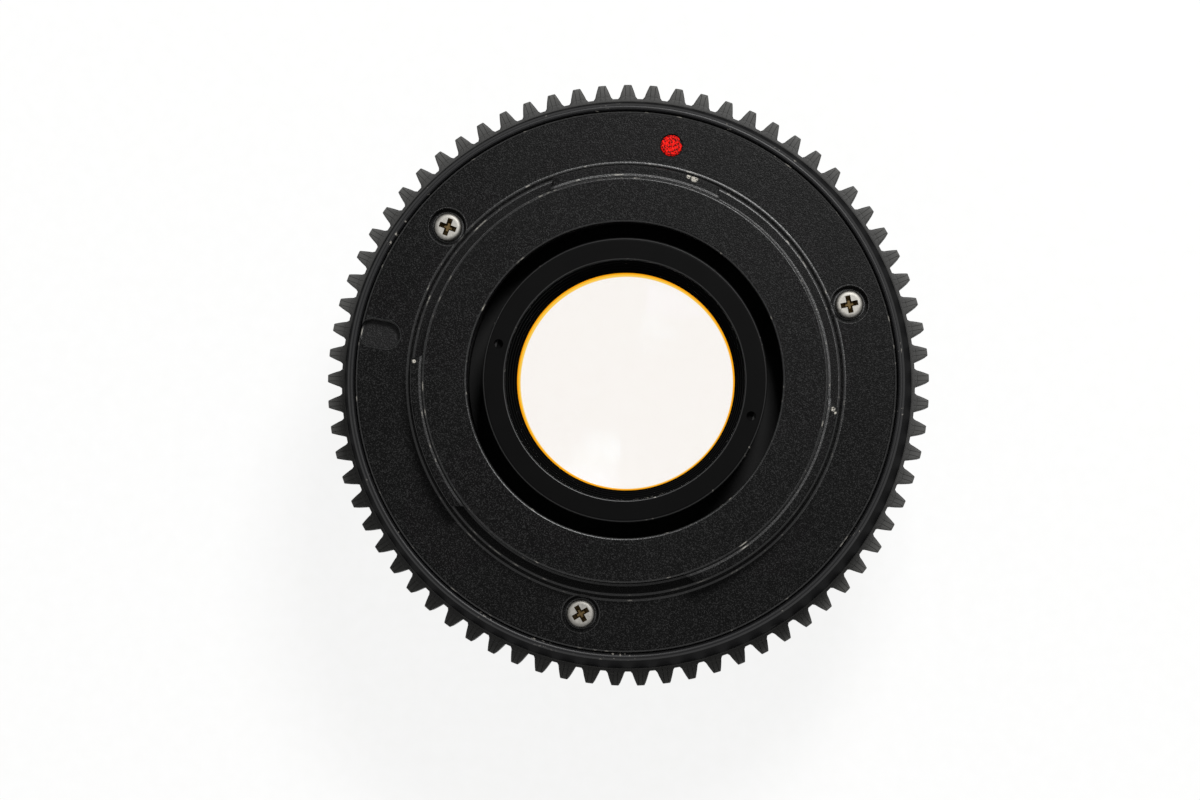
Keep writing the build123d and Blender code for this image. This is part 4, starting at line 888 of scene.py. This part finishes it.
# Front and rear level, edge radius, front and rear clear radius, front and rear curve, all in mm.
elements = [(-42.5, -38.5, 18.0, 16.4, 14.8, 40.0, 60.0),
            (-37.3, -33.51, 15.5, 14.0, 13.6, 45.0, 90.0),
            (-33.49, -29.5, 15.5, 13.6, 13.6, 90.0, 34.0),
            (-19.6, -16.41, 16.0, 12.6, 12.4, -34.0, -60.0),
            (-16.39, -13.2, 16.0, 12.4, 12.0, -60.0, -60.0),
            (-11.2, -7.6, 12.85, 12.0, 11.6, 400.0, -40.0),
            (-4.6, -0.8, 12.85, 11.4, 10.55, 80.0, -60.0)]
for number, sizes in enumerate(elements, 1):
    element = raw_object(f"glass_{number}", [lens_shell(*sizes)])
    kind = {1: front_glass, 7: rear_glass}.get(number, inner_glass)
    settle(element, "optical_unit", kind, [f"lens_{number}"])

# %% [markdown]
# ## Scales
#
# The rings carry painted scales: the aperture as T-stops, the distance in metres, and a line on the
# fixed sleeve that they are read against. The numbers come from Blender's own font as thin closed
# plates, bent round the ring. The distance marks stand where the focusing thread puts them: with
# focal length f, a subject at distance d needs the lens to move forward by f^2 / (s - f), where
# s = (d + sqrt(d^2 - 4 f d)) / 2.

# %% Marks that bend round a ring
mark_height = 0.02


def digits(text, height):
    """A number as a thin plate: x to the right and centred, y up from its foot, in mm."""
    writing = bpy.data.curves.new("digits", "FONT")
    writing.body = text
    writing.size = height / 0.7
    writing.align_x = "CENTER"
    writing.extrude = mark_height
    writing.resolution_u = 4
    writer = bpy.data.objects.new("digits", writing)
    scene.collection.objects.link(writer)
    view = bpy.context.evaluated_depsgraph_get()
    mesh = bpy.data.meshes.new_from_object(writer.evaluated_get(view))
    mesh.calc_loop_triangles()
    points = np.zeros(len(mesh.vertices) * 3)
    mesh.vertices.foreach_get("co", points)
    corners = np.zeros(len(mesh.loop_triangles) * 3, np.int32)
    mesh.loop_triangles.foreach_get("vertices", corners)
    bpy.data.objects.remove(writer)
    bpy.data.curves.remove(writing)
    bpy.data.meshes.remove(mesh)
    return points.reshape(-1, 3), corners.reshape(-1, 3)


def tick(length, width):
    """A stroke with round ends: a half circle's points, moved up by the length on the upper side."""
    a = np.linspace(0.0, 2 * np.pi, 20, endpoint=False)
    x = width / 2 * np.cos(a)
    y = width / 2 * np.sin(a) + np.where(np.sin(a) > 1e-9, length - width / 2, width / 2)
    share = np.array([0.0, 1.0, 1.0, 0.0])[:, None]
    lift = mark_height * np.array([-1.0, -1.0, 1.0, 1.0])[:, None]
    middle = length / 2
    points = np.stack([x * share, middle + (y - middle) * share, lift + 0 * x], axis=-1)
    return weave(points, wrap_rows=False)


def lying_eight(width, height, stroke):
    """The sign for infinity: x = w/2 cos t, y = h/2 sin 2t, as a flat band of a given stroke."""
    t = np.linspace(0.0, 2 * np.pi, 64, endpoint=False)
    line = np.stack([width / 2 * np.cos(t), height / 2 * (1 + np.sin(2 * t))], axis=-1)
    way = np.roll(line, -1, axis=0) - np.roll(line, 1, axis=0)
    across = np.stack([way[:, 1], -way[:, 0]], axis=-1) / np.linalg.norm(way, axis=1, keepdims=True)
    rows = [np.column_stack([line + across * stroke / 2 * side, np.full(len(t), up * mark_height)])
            for side, up in ((-1, -1), (1, -1), (1, 1), (-1, 1))]
    return weave(np.array(rows))


def bent(shell, radius, angle, z):
    """Bends a flat drawing round the lens: x becomes an arc, y runs to the front, z stands off it."""
    x, y, lift = shell[0].T
    px, py = clock(radius + lift, angle + np.degrees(x / radius))
    return np.stack([px, py, z - y], axis=-1), shell[1]


print("marks stand", mark_height, "mm off their ring")

# %% Aperture, distance and index marks
def scale_piece(name, body, radius, marks, tick_z, digit_z):
    """Ticks and numbers at clock angles, joined in one piece of white paint."""
    shells = []
    for angle, text in marks:
        shells.append(bent(tick(1.0, 0.16), radius, angle, tick_z))
        sign = lying_eight(2.3, 1.1, 0.26) if text == "infinity" else digits(text, 1.7)
        shells.append(bent(sign, radius, angle, digit_z))
    settle(raw_object(name, shells), body, white_paint)


stops = ["1.5", "2", "2.8", "4", "5.6", "8", "11", "16", "22"]
scale_piece("aperture_marks", "aperture_ring", 27.5,
            list(zip(np.linspace(0.0, 60.0, 9), stops)), -19.9, -17.7)
focal, travel, throw = 35.0, 4.0, 160.0
metres = np.array([5.0, 3.0, 2.0, 1.5, 1.2, 1.0, 0.8, 0.7, 0.6, 0.5, 0.45, 0.4])
d = metres * 1000.0
s = (d + np.sqrt(d ** 2 - 4 * focal * d)) / 2
turns = np.clip(throw * focal ** 2 / (s - focal) / travel, 0.0, throw)
distances = [(0.0, "infinity")] + [(angle, f"{m:g}") for angle, m in zip(turns, metres)]
scale_piece("distance_marks", "focus_ring", 26.9, distances, -26.7, -28.4)
line_mark = raw_object("index_line", [bent(tick(4.2, 0.22), 27.2, 0.0, -21.6)])
settle(line_mark, "root", white_paint)
print("distance marks", [(round(angle, 1), text) for angle, text in distances])

# %% [markdown]
# ## Finishes for the pieces that keep their CAD shape
#
# The inner tubes, cells, keys, screws and blades only need what they are made of: brass where two
# threads slide on each other, blackened steel for the small screws and the blades, and a duller
# black inside, so that no wall shines into the picture. That inner black is coloured a lighter
# grey, as painted light in the deep gaps that the lamp hardly reaches.

# %% Inner pieces
inside = {
    barrel_black: ["main_barrel"],
    cell_grey_painted_light: ["inner_helicoid", "front_cell", "rear_cell", "rear_spacer", "front_retaining_ring",
                 "pair_retaining_ring", "inner_retaining_ring", "iris_base", "helicoid_retainer"],
    brass: ["focus_helicoid", "guide_keys", "focus_key"],
    shim_metal: ["mount_shim"],
    black_steel: ["rear_barrel_screws", "index_sleeve_screws", "front_barrel_screws", "focus_key_screw",
                  "aperture_drive_screw", "rear_cell_screws", "iris_base_screws"],
    blade_black: ["iris_rotor"] + [f"iris_blade_{number:02d}" for number in range(1, 11)],
}
for finish, names in inside.items():
    for name in names:
        for place in frame["nodes"][name].material_slots:
            place.material = finish
replaced = {name for piece in bpy.data.objects for name in piece.get("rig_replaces", [])}
painted = {name for names in inside.values() for name in names}
print("nodes with no finish of their own:", sorted(set(frame["nodes"]) - replaced - painted))

# %% [markdown]
# ## Floor and light
#
# The lens stands on its front rim on a white floor, under a white world. Both look white to the
# camera, to reflections and through glass, whatever light falls on them, and the floor adds a little
# ordinary reflection that leaves a soft shadow. The disc inside the front rim glows a little lighter:
# a painted pool of the light that the lens sends down onto it. One small lamp high above shapes the
# rings.

# %% Floor and world
def seen_directly(tree):
    """1 for rays from the camera, off gloss or through glass, 0 for light that fills the scene."""
    path = add(tree, "LightPath")
    mask = path.outputs["Is Camera Ray"]
    for ray in ("Is Glossy Ray", "Is Transmission Ray"):
        mask = add(tree, "Math", {0: mask, 1: path.outputs[ray]}, operation="MAXIMUM")
    return mask


white_floor, tree, in_mm = new_finish("white_paper_floor")
seen = seen_directly(tree)
fibres = add(tree, "TexNoise", {"Vector": in_mm, "Scale": 1 / 1.5, "Detail": 3.0})
paper = add(tree, "Mix", {0: fibres, 6: linear("fbfbfa"), 7: linear("ffffff")}, data_type="RGBA")
shade = add(tree, "Mix", {0: seen, 6: linear("c8c8c8"), 7: linear("5c5c5c")}, data_type="RGBA")
radius = from_axis(tree, in_mm)
# Painted light: inside the front rim the floor glows brighter, a pool of light sent down through the
# lens.
painted_light_under_lens = add(tree, "MapRange", {0: radius, 1: 22.0, 2: 25.0, 3: 0.97, 4: 0.90})
glow_strength = add(tree, "Math", {0: seen, 1: painted_light_under_lens}, operation="MULTIPLY")
glow = add(tree, "Emission", {"Color": paper, "Strength": glow_strength})
soft = add(tree, "BsdfDiffuse", {"Color": shade})
both = add(tree, "AddShader", {0: glow, 1: soft})
add(tree, "OutputMaterial", {"Surface": both})
floor_half, floor_z = 3.0, cad_box[0][2]
corners = [(floor_half * x, floor_half * y, floor_z) for x, y in ((-1, -1), (1, -1), (1, 1), (-1, 1))]
mesh = bpy.data.meshes.new("floor")
mesh.from_pydata(corners, [], [(0, 1, 2, 3)])
mesh.materials.append(white_floor)
floor = bpy.data.objects.new("floor", mesh)
scene.collection.objects.link(floor)

world = bpy.data.worlds.new("white_world")
world.use_nodes = True
world.node_tree.nodes.clear()
strength = add(world.node_tree, "MapRange", {0: seen_directly(world.node_tree), 3: 0.35, 4: 1.0})
sky = add(world.node_tree, "Background", {"Color": linear("ffffff"), "Strength": strength})
add(world.node_tree, "OutputWorld", {"Surface": sky})
scene.world = world
print("floor at", floor_z, "m")

# %% Lamp
lamp_data = bpy.data.lights.new("window_light", "AREA")
lamp_data.energy = 1.6
lamp_data.size = 0.08
aim("window_light", lamp_data, (60.0, 145.0, 360.0), (0.0, 0.0, 0.0))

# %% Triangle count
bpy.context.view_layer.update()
meshes = [piece.data for piece in bpy.data.objects if piece.type == "MESH"]
print("triangles", sum(len(mesh.loops) - 2 * len(mesh.polygons) for mesh in meshes))
